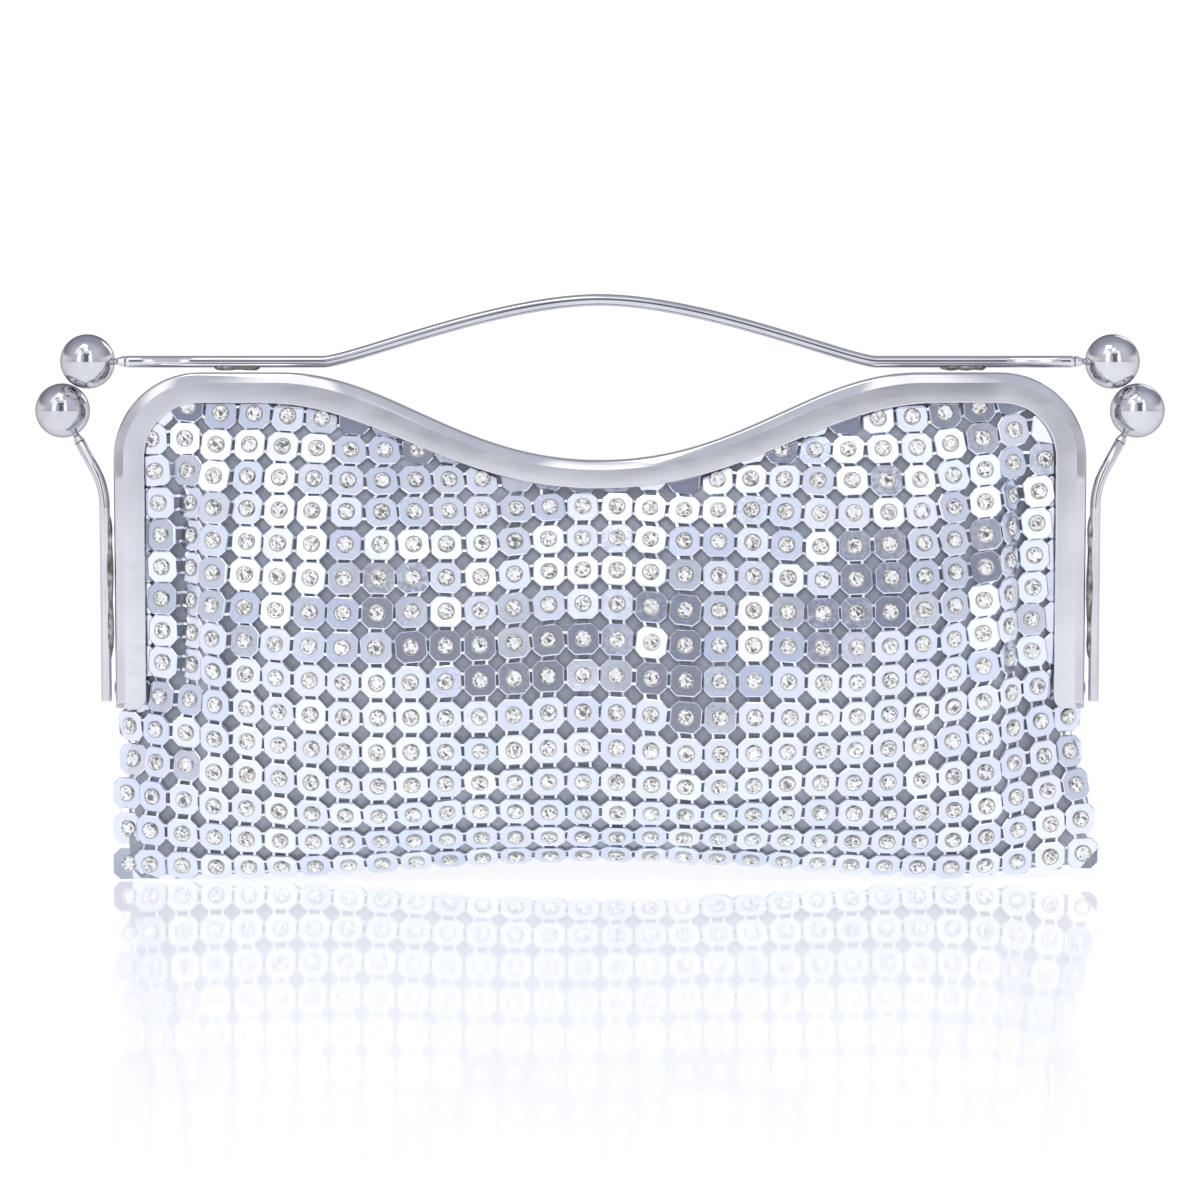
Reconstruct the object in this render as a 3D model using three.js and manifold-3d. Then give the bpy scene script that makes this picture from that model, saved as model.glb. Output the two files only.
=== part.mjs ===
// Evening bag: a kiss-lock clutch with a skin of linked metal plates on a polished two-part frame.
// Millimetres. X runs across the bag, -Y is its front, +Z is up, and the bag stands on Z = 0.
import * as THREE from "three";
import { mergeVertices } from "three/addons/utils/BufferGeometryUtils.js";
import Module from "manifold-3d";

const wasm = await Module();
wasm.setup();

// Frame half: a pressed channel, open towards the cloth, in the shape of an inverted U with a dip.
const SHEET = 0.9; // thickness of the pressed metal
const FRAME_DEPTH = 6; // from the parting plane to the outer face
const PARTING = 0.15; // half the gap between the closed halves
const FLANGE_WIDTH = 4.6; // the channel's inner lip, hidden in the bag
const ARM_BOTTOM = 42.2;
const ARM_END_RADIUS = 2.5;
const OUTER_EDGE = { halfWidth: 115.8, top: 122.2, dip: 101.3, shoulder: 76, radius: 20.6 };
const INNER_EDGE = { halfWidth: 108.3, top: 114.9, dip: 94.6, shoulder: 80, radius: 13 };
const EDGE_DIVISIONS = 6;

// Hinges at the arms' lower ends. Each half swings by SWING from the closed pose.
const HINGE_Z = 46.5;
const SWING = THREE.MathUtils.degToRad(30);
const EAR_RADIUS = 3.4;
const EAR_CLEARANCE = 0.5;
const RIVET_RADIUS = 1;
const RIVET_HOLE_RADIUS = 1.3;
const RIVET_HEAD_RADIUS = 1.9;
const GAP = 0.3; // left between pieces that touch

// Round wires and their ball ends.
const HANDLE_RADIUS = 1.4;
const HANDLE_Z = 124.75;
const HANDLE_TOP = 139.5;
const HANDLE_Y = 3.1;
const SIDE_WIRE_RADIUS = 1.25;
const SIDE_WIRE = { x: 118.1, y: -3.6, bottom: 43.7, bend: 95 };
const BALL_RADIUS = 6.5;
const NECK_RADIUS = 2.1;
const NECK_LENGTH = 2.2;
const UPPER_BALL = new THREE.Vector3(122.2, -1, 124.8);
const LOWER_BALL = new THREE.Vector3(128.6, 1, 113.1);
const BRAZE_X = 87; // centre of each braze under the handle
const BRAZE_LENGTH = 11;

// Pouch: three layers, each given by its outer face's inset from the skin's outer face.
const LAYERS = {
  mesh: { inset: 0, thickness: 1.2 },
  backing: { inset: 1.5, thickness: 0.5 },
  lining: { inset: 2.4, thickness: 0.5 },
};
const POCKET = { inset: 3.2, thickness: 0.5, halfWidth: 50, bottom: 60, top: 82 };
const CHANNEL_DEPTH = 4.7; // skin's distance from the parting plane inside the channel
const SKIN_DEPTH = 24; // the same where the pouch is fullest
const BASE_DEPTH = 7; // half depth of the flat underside
const ROLL_HEIGHT = 45; // height of the rounded lower edge
const TUB_LEVELS = [10, 18, 28];
const TUB_EDGE_STEP = 3.5; // from the underside to the first level
const TUB_TOP = 39.3;
const TUB_CLEARANCE = 0.8;
const LINING_TOP = 53;
const ARCH_HEIGHT = 3.5; // the underside's rise at mid width, between its two feet
const ARCH_HALF_WIDTH = 80;
const TOP_RISE_LENGTH = 55;
const SIDE_RISE_LENGTH = 38;
const PANEL_COLUMNS = 16;
const PANEL_ROWS = 6;
const TUB_SIDES = 28;

const chrome = { color: 0xd6d6da, roughness: 0.08, metalness: 1 };
const plate = { color: 0xc9cddb, roughness: 0.18, metalness: 1 };
const braze = { color: 0x9a8b76, roughness: 0.4, metalness: 1 };
const greyCloth = { color: 0x878c96, roughness: 0.9, metalness: 0 };
const satin = { color: 0xb9bcc4, roughness: 0.55, metalness: 0 };
const paper = { color: 0xb59c74, roughness: 0.95, metalness: 0 };

const bag = new THREE.Group();

function addPiece(name, geometry, finish) {
  const mesh = new THREE.Mesh(geometry, new THREE.MeshStandardMaterial(finish));
  mesh.name = name;
  bag.add(mesh);
  return mesh;
}

// Solid and geometry conversions for cutting and joining.
function toSolid(geometry) {
  const bare = geometry.clone();
  bare.deleteAttribute("normal");
  bare.deleteAttribute("uv");
  const merged = mergeVertices(bare, 1e-4);
  const vertProperties = merged.getAttribute("position").array;
  const triVerts = new Uint32Array(merged.index.array);
  return new wasm.Manifold(new wasm.Mesh({ numProp: 3, vertProperties, triVerts }));
}

function toGeometry(solid) {
  const { vertProperties, triVerts } = solid.getMesh();
  const geometry = new THREE.BufferGeometry();
  geometry.setAttribute("position", new THREE.BufferAttribute(vertProperties, 3));
  geometry.setIndex(new THREE.BufferAttribute(triVerts, 1));
  return geometry;
}

// The rear of the bag is the front turned half a turn about Z, because the bag is alike left and right.
function turnedToRear(geometry) {
  return geometry.clone().rotateZ(Math.PI);
}

function boxBetween(low, high) {
  const size = high.map((value, axis) => value - low[axis]);
  const centre = high.map((value, axis) => (value + low[axis]) / 2);
  return new THREE.BoxGeometry(...size).translate(...centre);
}

function cylinderAlongX(radius, xLow, xHigh, sides, y = 0, z = HINGE_Z) {
  const geometry = new THREE.CylinderGeometry(radius, radius, xHigh - xLow, sides);
  return geometry.rotateZ(Math.PI / 2).translate((xLow + xHigh) / 2, y, z);
}

// A frame edge seen from the front, from the left arm's end over the dip to the right arm's end.
function edgePoints({ halfWidth, top, dip, shoulder, radius }, endRadius = 0) {
  const cornerX = halfWidth - radius;
  const cornerZ = top - radius;
  const half = new THREE.Path();
  half.moveTo(0, dip);
  half.bezierCurveTo(0.45 * shoulder, dip, 0.66 * shoulder, top, shoulder, top);
  half.lineTo(cornerX, top);
  half.absarc(cornerX, cornerZ, radius, Math.PI / 2, 0, true);
  half.lineTo(halfWidth, ARM_BOTTOM + endRadius);
  if (endRadius) {
    half.absarc(halfWidth + endRadius, ARM_BOTTOM + endRadius, endRadius, Math.PI, 1.5 * Math.PI, false);
  }
  const right = half.getPoints(EDGE_DIVISIONS).filter((p, i, all) => !i || p.distanceTo(all[i - 1]) > 0.05);
  const left = right.slice(1).map((p) => new THREE.Vector2(-p.x, p.y));
  return [...left.reverse(), ...right];
}

// The same edge moved towards the middle of the bag.
function insetEdge(points, distance) {
  return points.map((point, i) => {
    const before = points[Math.max(i - 1, 0)];
    const after = points[Math.min(i + 1, points.length - 1)];
    const along = after.clone().sub(before).normalize();
    return new THREE.Vector2(point.x + along.y * distance, point.y - along.x * distance);
  });
}

function heightAt(points, x) {
  let height = -Infinity;
  for (let i = 1; i < points.length; i++) {
    const [a, b] = [points[i - 1], points[i]];
    if ((a.x - x) * (b.x - x) <= 0 && a.x !== b.x) {
      height = Math.max(height, THREE.MathUtils.mapLinear(x, a.x, b.x, a.y, b.y));
    }
  }
  return height;
}

const outerEdge = edgePoints(OUTER_EDGE);
const innerEdge = edgePoints(INNER_EDGE, ARM_END_RADIUS);

// A strip between two edges, standing in front of the parting plane from near to far.
function frameStrip(outer, inner, near, far) {
  const outline = new THREE.Shape([...outer, ...inner.slice().reverse()]);
  const geometry = new THREE.ExtrudeGeometry(outline, { depth: far - near, bevelEnabled: false });
  return geometry.rotateX(Math.PI / 2).translate(0, -near, 0);
}

// Face, outer wall and hidden inner lip, relieved below the hinge axis so that the half can swing.
function frameChannel() {
  const face = frameStrip(outerEdge, innerEdge, FRAME_DEPTH - SHEET, FRAME_DEPTH);
  const wall = frameStrip(outerEdge, insetEdge(outerEdge, SHEET), PARTING, FRAME_DEPTH);
  const lip = frameStrip(outerEdge, insetEdge(outerEdge, FLANGE_WIDTH), PARTING, PARTING + SHEET);
  const drop = HINGE_Z - ARM_BOTTOM + 1;
  const relief = new THREE.Shape([
    new THREE.Vector2(PARTING * 2, HINGE_Z),
    new THREE.Vector2(-PARTING * 2, HINGE_Z),
    new THREE.Vector2(-drop * Math.tan(SWING) - PARTING * 2, HINGE_Z - drop),
    new THREE.Vector2(PARTING * 2, HINGE_Z - drop),
  ]);
  const span = OUTER_EDGE.halfWidth * 2 + 2;
  const wedge = new THREE.ExtrudeGeometry(relief, { depth: span, bevelEnabled: false });
  wedge.applyMatrix4(new THREE.Matrix4().set(0, 0, 1, -span / 2, 1, 0, 0, 0, 0, 1, 0, 0, 0, 0, 0, 1));
  return toSolid(face).add(toSolid(wall)).add(toSolid(lip)).subtract(toSolid(wedge));
}

// Front half's ears are its own walls, carried across the axis. The lip is cut clear of the rear ears.
function frontFrame() {
  const wallOut = OUTER_EDGE.halfWidth;
  const wallIn = wallOut - SHEET;
  let solid = frameChannel();
  for (const side of [-1, 1]) {
    const span = (from, to) => [Math.min(side * from, side * to), Math.max(side * from, side * to)];
    const clearance = cylinderAlongX(EAR_RADIUS + EAR_CLEARANCE, ...span(wallIn - 6, wallIn), 20);
    const ear = cylinderAlongX(EAR_RADIUS, ...span(wallIn, wallOut), 20);
    const hole = cylinderAlongX(RIVET_HOLE_RADIUS, ...span(wallIn - 1, wallOut + 1), 12);
    solid = solid.subtract(toSolid(clearance)).add(toSolid(ear)).subtract(toSolid(hole));
  }
  return toGeometry(solid);
}

// Rear half's ears lie just inside the front ones, on a joggled tab from its wall.
function rearFrame() {
  const wallOut = OUTER_EDGE.halfWidth;
  const earOut = wallOut - SHEET - GAP;
  const earIn = earOut - SHEET;
  const tabTop = HINGE_Z + 7.5;
  let solid = toSolid(turnedToRear(toGeometry(frameChannel())));
  for (const side of [-1, 1]) {
    const span = (from, to) => [Math.min(side * from, side * to), Math.max(side * from, side * to)];
    const box = (from, to, yLow, yHigh, zLow, zHigh) => {
      const [xLow, xHigh] = span(from, to);
      return toSolid(boxBetween([xLow, yLow, zLow], [xHigh, yHigh, zHigh]));
    };
    const clearance = cylinderAlongX(EAR_RADIUS + EAR_CLEARANCE, ...span(earIn - 6, wallOut + 1), 20);
    const joggle = box(earIn, wallOut - SHEET / 2, 0.6, 5.3, HINGE_Z + EAR_RADIUS + EAR_CLEARANCE + 0.3, tabTop);
    const tab = box(earIn, earOut, 0.6, 3.2, HINGE_Z, tabTop);
    const ear = cylinderAlongX(EAR_RADIUS, ...span(earIn, earOut), 20);
    const hole = cylinderAlongX(RIVET_HOLE_RADIUS, ...span(earIn - 1, earOut + 0.5), 12);
    solid = solid.subtract(toSolid(clearance)).add(joggle).add(tab).add(toSolid(ear));
    solid = solid.subtract(toSolid(hole));
  }
  return toGeometry(solid);
}

function hingeRivet(side) {
  const outside = OUTER_EDGE.halfWidth + GAP;
  const inside = OUTER_EDGE.halfWidth - 2 * SHEET - 2 * GAP;
  const pieces = [
    [RIVET_RADIUS, inside - 0.5, outside + 0.3],
    [RIVET_HEAD_RADIUS, outside, outside + 0.6],
    [RIVET_HEAD_RADIUS, inside - 1, inside],
  ];
  const solids = pieces.map(([radius, xLow, xHigh]) => toSolid(cylinderAlongX(radius, xLow, xHigh, 12)));
  const geometry = toGeometry(solids[0].add(solids[1]).add(solids[2]));
  return side > 0 ? geometry : turnedToRear(geometry);
}

// Round section with an even number of sides, swept along a route.
function wire(radius, sides, route, steps) {
  const section = new THREE.Shape();
  section.absarc(0, 0, radius, 0, 2 * Math.PI, false);
  const sweep = { extrudePath: route, steps, curveSegments: sides / 2, bevelEnabled: false };
  return new THREE.ExtrudeGeometry(section, sweep);
}

// Twisted paper pressed into the channel behind the cloth's edge.
function paperCord() {
  const radius = 0.7;
  const lowest = 57;
  const middle = insetEdge(outerEdge, SHEET + radius + 0.5).filter((p) => p.y > lowest);
  const ends = [-1, 1].map((side) => new THREE.Vector2(side * Math.abs(middle[0].x), lowest));
  const y = -(PARTING + SHEET + FRAME_DEPTH - SHEET) / 2;
  const route = new THREE.CatmullRomCurve3(
    [ends[0], ...middle, ends[1]].map((p) => new THREE.Vector3(p.x, y, p.y)),
    false,
    "chordal",
  );
  return wire(radius, 6, route, 50);
}

// Handle: level over the brazes, bowed up in the middle, its ends set forward to reach the balls.
function handleRod() {
  const bowX = 66;
  const setForwardX = BRAZE_X + BRAZE_LENGTH / 2 + 2;
  const tip = UPPER_BALL.x - BALL_RADIUS - NECK_LENGTH - GAP;
  const at = (x, z, y = HANDLE_Y) => new THREE.Vector3(x, y, z);
  const route = new THREE.CurvePath();
  const ball = UPPER_BALL.y;
  for (const side of [-1, 1]) {
    const bend = [at(side * setForwardX, HANDLE_Z), at(side * (setForwardX + 9), HANDLE_Z)];
    const reach = [at(side * (tip - 9), HANDLE_Z, ball), at(side * tip, HANDLE_Z, ball)];
    const bow = [at(side * bowX, HANDLE_Z), at(side * 58, HANDLE_Z + 0.75)];
    const crown = [at(side * 24, HANDLE_TOP), at(0, HANDLE_TOP)];
    const curves = [
      new THREE.CubicBezierCurve3(...reach.slice().reverse(), ...bend.slice().reverse()),
      new THREE.LineCurve3(bend[0], bow[0]),
      new THREE.CubicBezierCurve3(...bow, ...crown),
    ];
    if (side < 0) {
      curves.forEach((curve) => route.add(curve));
    } else {
      route.add(new THREE.CubicBezierCurve3(...crown.reverse(), ...bow.slice().reverse()));
      route.add(new THREE.LineCurve3(bow[0], bend[0]));
      route.add(new THREE.CubicBezierCurve3(...bend, ...reach));
    }
  }
  return wire(HANDLE_RADIUS, 8, route, 56);
}

// Ball with its neck, turned in one piece, the neck pointing along the wire.
function ballEnd(centre, towards) {
  const neckAngle = Math.asin(NECK_RADIUS / BALL_RADIUS);
  const rings = 9;
  const profile = [];
  for (let i = 0; i <= rings; i++) {
    const angle = (i / rings) * (Math.PI - neckAngle);
    profile.push(new THREE.Vector2(BALL_RADIUS * Math.sin(angle), -BALL_RADIUS * Math.cos(angle)));
  }
  profile[0].x = 0;
  profile.push(new THREE.Vector2(HANDLE_RADIUS, BALL_RADIUS + NECK_LENGTH));
  profile.push(new THREE.Vector2(0, BALL_RADIUS + NECK_LENGTH));
  const geometry = new THREE.LatheGeometry(profile, 14);
  const turn = new THREE.Quaternion().setFromUnitVectors(new THREE.Vector3(0, 1, 0), towards);
  return geometry.applyQuaternion(turn).translate(centre.x, centre.y, centre.z);
}

// Side wire: straight along the front half's arm, then bent outwards and back to its ball.
function sideWireStart(side) {
  const bend = new THREE.Vector3(side * SIDE_WIRE.x, SIDE_WIRE.y, SIDE_WIRE.bend);
  const ball = new THREE.Vector3(side * LOWER_BALL.x, LOWER_BALL.y, LOWER_BALL.z);
  return { bend, ball, towards: bend.clone().sub(ball).normalize() };
}

function sideWire(side) {
  const { bend, ball, towards } = sideWireStart(side);
  const bendLength = 5;
  const tip = ball.clone().addScaledVector(towards, BALL_RADIUS + NECK_LENGTH + GAP);
  const aboveBend = bend.clone().addScaledVector(towards, -bendLength);
  const belowBend = bend.clone().setZ(SIDE_WIRE.bend - bendLength);
  const end = bend.clone().setZ(SIDE_WIRE.bottom);
  const route = new THREE.CurvePath();
  route.add(new THREE.LineCurve3(tip, aboveBend));
  route.add(new THREE.QuadraticBezierCurve3(aboveBend, bend, belowBend));
  route.add(new THREE.LineCurve3(belowBend, end));
  return wire(SIDE_WIRE_RADIUS, 8, route, 14);
}

// Braze metal: a low pad with a saddle for the wire.
function handleBraze(side) {
  const low = [side * BRAZE_X - BRAZE_LENGTH / 2, HANDLE_Y - 1.5, OUTER_EDGE.top + GAP];
  const high = [side * BRAZE_X + BRAZE_LENGTH / 2, HANDLE_Y + 1.5, HANDLE_Z - 0.4];
  const ends = [low[0] - 1, high[0] + 1];
  const saddle = cylinderAlongX(HANDLE_RADIUS + GAP, ...ends, 16, HANDLE_Y, HANDLE_Z);
  return toGeometry(toSolid(boxBetween(low, high)).subtract(toSolid(saddle)));
}

function sideBraze(side) {
  const zLow = 54;
  const zHigh = 88;
  const xs = [side * (OUTER_EDGE.halfWidth + GAP), side * (SIDE_WIRE.x - 0.5)].sort((a, b) => a - b);
  const pad = boxBetween([xs[0], SIDE_WIRE.y - 1.6, zLow], [xs[1], SIDE_WIRE.y + 1.6, zHigh]);
  const radius = SIDE_WIRE_RADIUS + GAP;
  const saddle = new THREE.CylinderGeometry(radius, radius, zHigh - zLow + 2, 16).rotateX(Math.PI / 2);
  saddle.translate(side * SIDE_WIRE.x, SIDE_WIRE.y, (zLow + zHigh) / 2);
  return toGeometry(toSolid(pad).subtract(toSolid(saddle)));
}

// Quarter-circle rise from 0 to 1, flat after 1.
function rise(t) {
  const s = THREE.MathUtils.clamp(t, 0, 1);
  return Math.sqrt(1 - (1 - s) * (1 - s));
}

const EDGE_MARGIN = 1.2; // from the frame's inner edge to where the skin starts to swell
const visibleEdge = insetEdge(innerEdge, EDGE_MARGIN);
const channelEdge = insetEdge(outerEdge, SHEET + 3.5);
const SKIN_EDGE_X = INNER_EDGE.halfWidth - EDGE_MARGIN;
const CHANNEL_EDGE_X = SKIN_EDGE_X + 3.7;

// Distance of the skin's outer face from the parting plane, above the hinges.
function skinDepth(x, z) {
  const edgeX = Math.min(Math.abs(x), SKIN_EDGE_X - 0.01);
  const fromTop = (heightAt(visibleEdge, edgeX) - z) / TOP_RISE_LENGTH;
  const fromSide = (SKIN_EDGE_X - Math.abs(x)) / SIDE_RISE_LENGTH;
  return CHANNEL_DEPTH + (SKIN_DEPTH - CHANNEL_DEPTH) * rise(fromTop) * rise(fromSide);
}

// Lowest line of a swinging panel: it just clears the tub at the end of its swing.
function panelBottom(x) {
  const reach = skinDepth(x, HINGE_Z + 4) * Math.sin(SWING);
  const drop = HINGE_Z - TUB_TOP - TUB_CLEARANCE;
  return Math.max(HINGE_Z + 0.5, HINGE_Z + (reach - drop) / Math.cos(SWING));
}

// A sheet bent out of a thin box. Both faces get the same diagonals, so stacked sheets stay parallel.
function bentSheet(columns, rows, place, thickness) {
  const geometry = new THREE.BoxGeometry(1, 1, 1, columns, 1, rows);
  const { start, count } = geometry.groups[3];
  for (let i = start; i < start + count; i += 6) {
    const [a, b, d, , c] = geometry.index.array.slice(i, i + 6);
    geometry.index.array.set([a, b, c, a, c, d], i);
  }
  const position = geometry.getAttribute("position");
  for (let i = 0; i < position.count; i++) {
    const column = Math.round((position.getX(i) + 0.5) * columns);
    const row = Math.round((position.getZ(i) + 0.5) * rows);
    const { x, z, depth } = place(column, row);
    position.setXYZ(i, x, position.getY(i) > 0 ? thickness - depth : -depth, z);
  }
  return geometry;
}

// A front panel of one layer, from just above the hinges into the frame's channel.
function panel({ inset, thickness }) {
  const place = (column, row) => {
    const turn = ((column - 1) / (PANEL_COLUMNS - 2)) * 2 - 1;
    const inChannel = column === 0 || column === PANEL_COLUMNS;
    const x = inChannel ? Math.sign(turn) * CHANNEL_EDGE_X : SKIN_EDGE_X * Math.sin((turn * Math.PI) / 2);
    const lowX = THREE.MathUtils.clamp(x, 0.01 - SKIN_EDGE_X, SKIN_EDGE_X - 0.01);
    const top = heightAt(visibleEdge, lowX);
    const down = (PANEL_ROWS - 1 - row) / (PANEL_ROWS - 1);
    const z = row === PANEL_ROWS ? heightAt(channelEdge, x) : top - (top - panelBottom(x)) * down * down;
    const depth = row >= PANEL_ROWS - 1 || inChannel ? CHANNEL_DEPTH : skinDepth(x, z);
    return { x, z, depth: depth - inset };
  };
  return bentSheet(PANEL_COLUMNS, PANEL_ROWS, place, thickness);
}

function slipPocket() {
  const columns = 6;
  const rows = 3;
  const place = (column, row) => {
    const x = POCKET.halfWidth * (column / columns - 0.5) * 2;
    const z = THREE.MathUtils.lerp(POCKET.bottom, POCKET.top, row / rows);
    return { x, z, depth: skinDepth(x, z) - POCKET.inset - 2.2 };
  };
  return bentSheet(columns, rows, place, POCKET.thickness);
}

// Half width of the skin below the hinges: slim under the arms, fullest low down.
function tubHalfWidth(z) {
  const fullness = Math.sin(Math.PI * THREE.MathUtils.clamp((z + 4) / 34, 0, 1));
  return 115.4 + 3.8 * fullness;
}

function tubHalfDepth(z) {
  return BASE_DEPTH + (SKIN_DEPTH - BASE_DEPTH) * rise(z / ROLL_HEIGHT);
}

// Solid lower pouch: flat below, super-elliptic in plan, its underside arched between two feet.
function tubBody(insetAt, bottom, levels) {
  const rings = [0, 0.4, 0.8];
  const profile = rings.map((radius) => new THREE.Vector2(radius, bottom));
  levels.forEach((z) => profile.push(new THREE.Vector2(1, z)));
  profile.push(new THREE.Vector2(0, levels.at(-1)));
  const geometry = new THREE.LatheGeometry(profile, TUB_SIDES);
  geometry.rotateX(Math.PI / 2);
  const position = geometry.getAttribute("position");
  for (let i = 0; i < position.count; i++) {
    const [px, py, z] = [position.getX(i), position.getY(i), position.getZ(i)];
    const radius = Math.hypot(px, py);
    const cosine = radius ? px / radius : 0;
    const sine = radius ? py / radius : 0;
    const across = Math.sign(cosine) * Math.sqrt(Math.abs(cosine) < 1e-6 ? 0 : Math.abs(cosine));
    const x = radius * across * (tubHalfWidth(z - bottom) - insetAt(z));
    const y = radius * sine * (tubHalfDepth(z - bottom) - insetAt(z));
    const arch = Math.abs(x) < ARCH_HALF_WIDTH ? Math.cos((Math.PI * x) / (2 * ARCH_HALF_WIDTH)) ** 2 : 0;
    const fade = THREE.MathUtils.clamp(1 - (z - bottom) / ROLL_HEIGHT, 0, 1);
    position.setXYZ(i, x, y, z + ARCH_HEIGHT * arch * fade);
  }
  return toSolid(geometry);
}

function tub({ inset, thickness }) {
  const levels = (bottom, top) => [bottom, bottom + TUB_EDGE_STEP, ...TUB_LEVELS, top];
  const outer = tubBody(() => inset, inset, levels(inset, TUB_TOP));
  const floor = inset + thickness;
  const inner = tubBody(() => floor, floor, levels(floor, TUB_TOP + 1));
  return toGeometry(outer.subtract(inner));
}

// The lining's lower part is a loose bag that stands higher and slimmer, behind the panels' lower edges.
function liningTub({ inset, thickness }) {
  const draw = 6.5;
  const insetAt = (extra) => (z) => extra + draw * THREE.MathUtils.smoothstep(z, 18, TUB_TOP);
  const levels = (bottom, top) => [bottom, bottom + TUB_EDGE_STEP, ...TUB_LEVELS, 33, TUB_TOP, top];
  const outer = tubBody(insetAt(inset), inset, levels(inset, LINING_TOP));
  const floor = inset + thickness;
  const inner = tubBody(insetAt(floor), floor, levels(floor, LINING_TOP + 1));
  return toGeometry(outer.subtract(inner));
}

addPiece("front_frame", frontFrame(), chrome);
addPiece("rear_frame", rearFrame(), chrome);
addPiece("front_paper_cord", paperCord(), paper);
addPiece("rear_paper_cord", turnedToRear(paperCord()), paper);
addPiece("handle_rod", handleRod(), chrome);
for (const [where, side] of [["left", -1], ["right", 1]]) {
  const upperBall = UPPER_BALL.clone().setX(side * UPPER_BALL.x);
  const { ball, towards } = sideWireStart(side);
  addPiece("hinge_rivet_" + where, hingeRivet(side), chrome);
  addPiece("handle_braze_" + where, handleBraze(side), braze);
  addPiece("upper_ball_" + where, ballEnd(upperBall, new THREE.Vector3(-side, 0, 0)), chrome);
  addPiece("side_wire_" + where, sideWire(side), chrome);
  addPiece("side_braze_" + where, sideBraze(side), braze);
  addPiece("lower_ball_" + where, ballEnd(ball, towards), chrome);
}
const finishes = { mesh: plate, backing: greyCloth, lining: satin };
for (const [name, layer] of Object.entries(LAYERS)) {
  addPiece(name + "_front", panel(layer), finishes[name]);
  addPiece(name + "_rear", turnedToRear(panel(layer)), finishes[name]);
  addPiece(name + "_base", name === "lining" ? liningTub(layer) : tub(layer), finishes[name]);
}
addPiece("slip_pocket", turnedToRear(slipPocket()), satin);

export default bag;
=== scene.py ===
import bpy
import numpy as np
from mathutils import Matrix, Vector


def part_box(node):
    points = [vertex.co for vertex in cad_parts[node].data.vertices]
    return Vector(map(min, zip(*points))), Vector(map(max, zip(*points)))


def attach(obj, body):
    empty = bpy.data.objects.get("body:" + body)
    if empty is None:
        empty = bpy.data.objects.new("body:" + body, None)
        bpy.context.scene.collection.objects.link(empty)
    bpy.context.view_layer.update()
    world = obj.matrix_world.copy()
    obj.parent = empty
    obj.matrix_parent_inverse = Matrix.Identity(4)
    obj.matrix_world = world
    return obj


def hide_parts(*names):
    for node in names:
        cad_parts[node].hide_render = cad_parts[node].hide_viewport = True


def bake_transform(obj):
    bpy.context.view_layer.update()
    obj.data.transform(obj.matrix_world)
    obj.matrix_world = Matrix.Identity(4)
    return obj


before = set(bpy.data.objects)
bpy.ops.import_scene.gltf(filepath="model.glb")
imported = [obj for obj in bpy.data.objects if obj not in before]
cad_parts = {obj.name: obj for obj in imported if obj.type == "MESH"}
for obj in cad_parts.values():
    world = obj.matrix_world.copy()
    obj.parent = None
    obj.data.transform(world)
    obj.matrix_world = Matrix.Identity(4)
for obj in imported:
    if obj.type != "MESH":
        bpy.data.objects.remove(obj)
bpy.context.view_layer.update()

# Frame halves: two channels pressed from 0.9 mm sheet in the shape of an inverted U with a dip,
# nickel-plated, and open towards the cloth. The outer shoulder is rolled and polished bright,
# and the face is left satin. The arms' lower ends carry the flat ears of the rivet hinge.
MM = 0.001
frame_low, frame_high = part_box("front_frame")
rivet_low, rivet_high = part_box("hinge_rivet_right")
hinge_z = (rivet_low.z + rivet_high.z) / 2 / MM
arm_end = frame_low.z / MM
frame_half_width = frame_high.x / MM
frame_top = frame_high.z / MM
INNER_HALF_WIDTH = 108.3
FRAME_DEPTH = 6.0
SHEET = 0.9
FACE_WIDTH = 7.5
LIP_WIDTH = 4.6
PARTING = 0.15
SHOULDER_RADIUS = 1.1
CROWN = 0.03
ROLL_END = 64
SLOPE_END = 2.5
ARM_ROUND = 2.5
FACE_DEPTH = 5.5
FACE_FLATNESS = 0.985
EAR_RADIUS = 3.4
EAR_CLEARANCE = 0.5
EAR_GAP = 0.3
TAB_HEIGHT = 7.5
RIVET_HOLE = 1.3
LIP_STOP = 4.2
CURVE_POINTS = 32
CORNER_POINTS = 17
SWING_SLOPE = np.tan(np.radians(30))


def add(tree, kind, values=(), **settings):
    """A shader node. Its values go in by order or by name, and a socket given as one is linked."""
    made = tree.nodes.new(kind)
    for key, value in settings.items():
        setattr(made, key, value)
    for key, value in values.items() if isinstance(values, dict) else enumerate(values):
        if isinstance(value, bpy.types.NodeSocket):
            tree.links.new(value, made.inputs[key])
        elif value is not None:
            made.inputs[key].default_value = value
    return made


def math(tree, operation, *values):
    return add(tree, "ShaderNodeMath", values, operation=operation).outputs[0]


def remap(tree, value, low, high, new_low, new_high):
    return add(tree, "ShaderNodeMapRange", [value, low, high, new_low, new_high]).outputs[0]


def blend_colours(tree, factor, first, second):
    mix = add(tree, "ShaderNodeMix", {0: factor, 6: first, 7: second}, data_type="RGBA")
    return mix.outputs[2]


def banded(tree, value, stops, interpolation="LINEAR"):
    """A colour ramp with the given (position, colour) stops."""
    ramp = add(tree, "ShaderNodeValToRGB", [value])
    ramp.color_ramp.interpolation = interpolation
    while len(ramp.color_ramp.elements) < len(stops):
        ramp.color_ramp.elements.new(0.5)
    for element, (position, colour) in zip(ramp.color_ramp.elements, stops):
        element.position = position
        element.color = (*colour, 1)
    return ramp.outputs[0]


def new_material(name, **values):
    """A material and its Principled shader, with the values that are the same all over."""
    material = bpy.data.materials.new(name)
    material.use_nodes = True
    shader = material.node_tree.nodes["Principled BSDF"]
    for key, value in values.items():
        shader.inputs[key.replace("_", " ")].default_value = value
    return material, material.node_tree, shader


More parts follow.
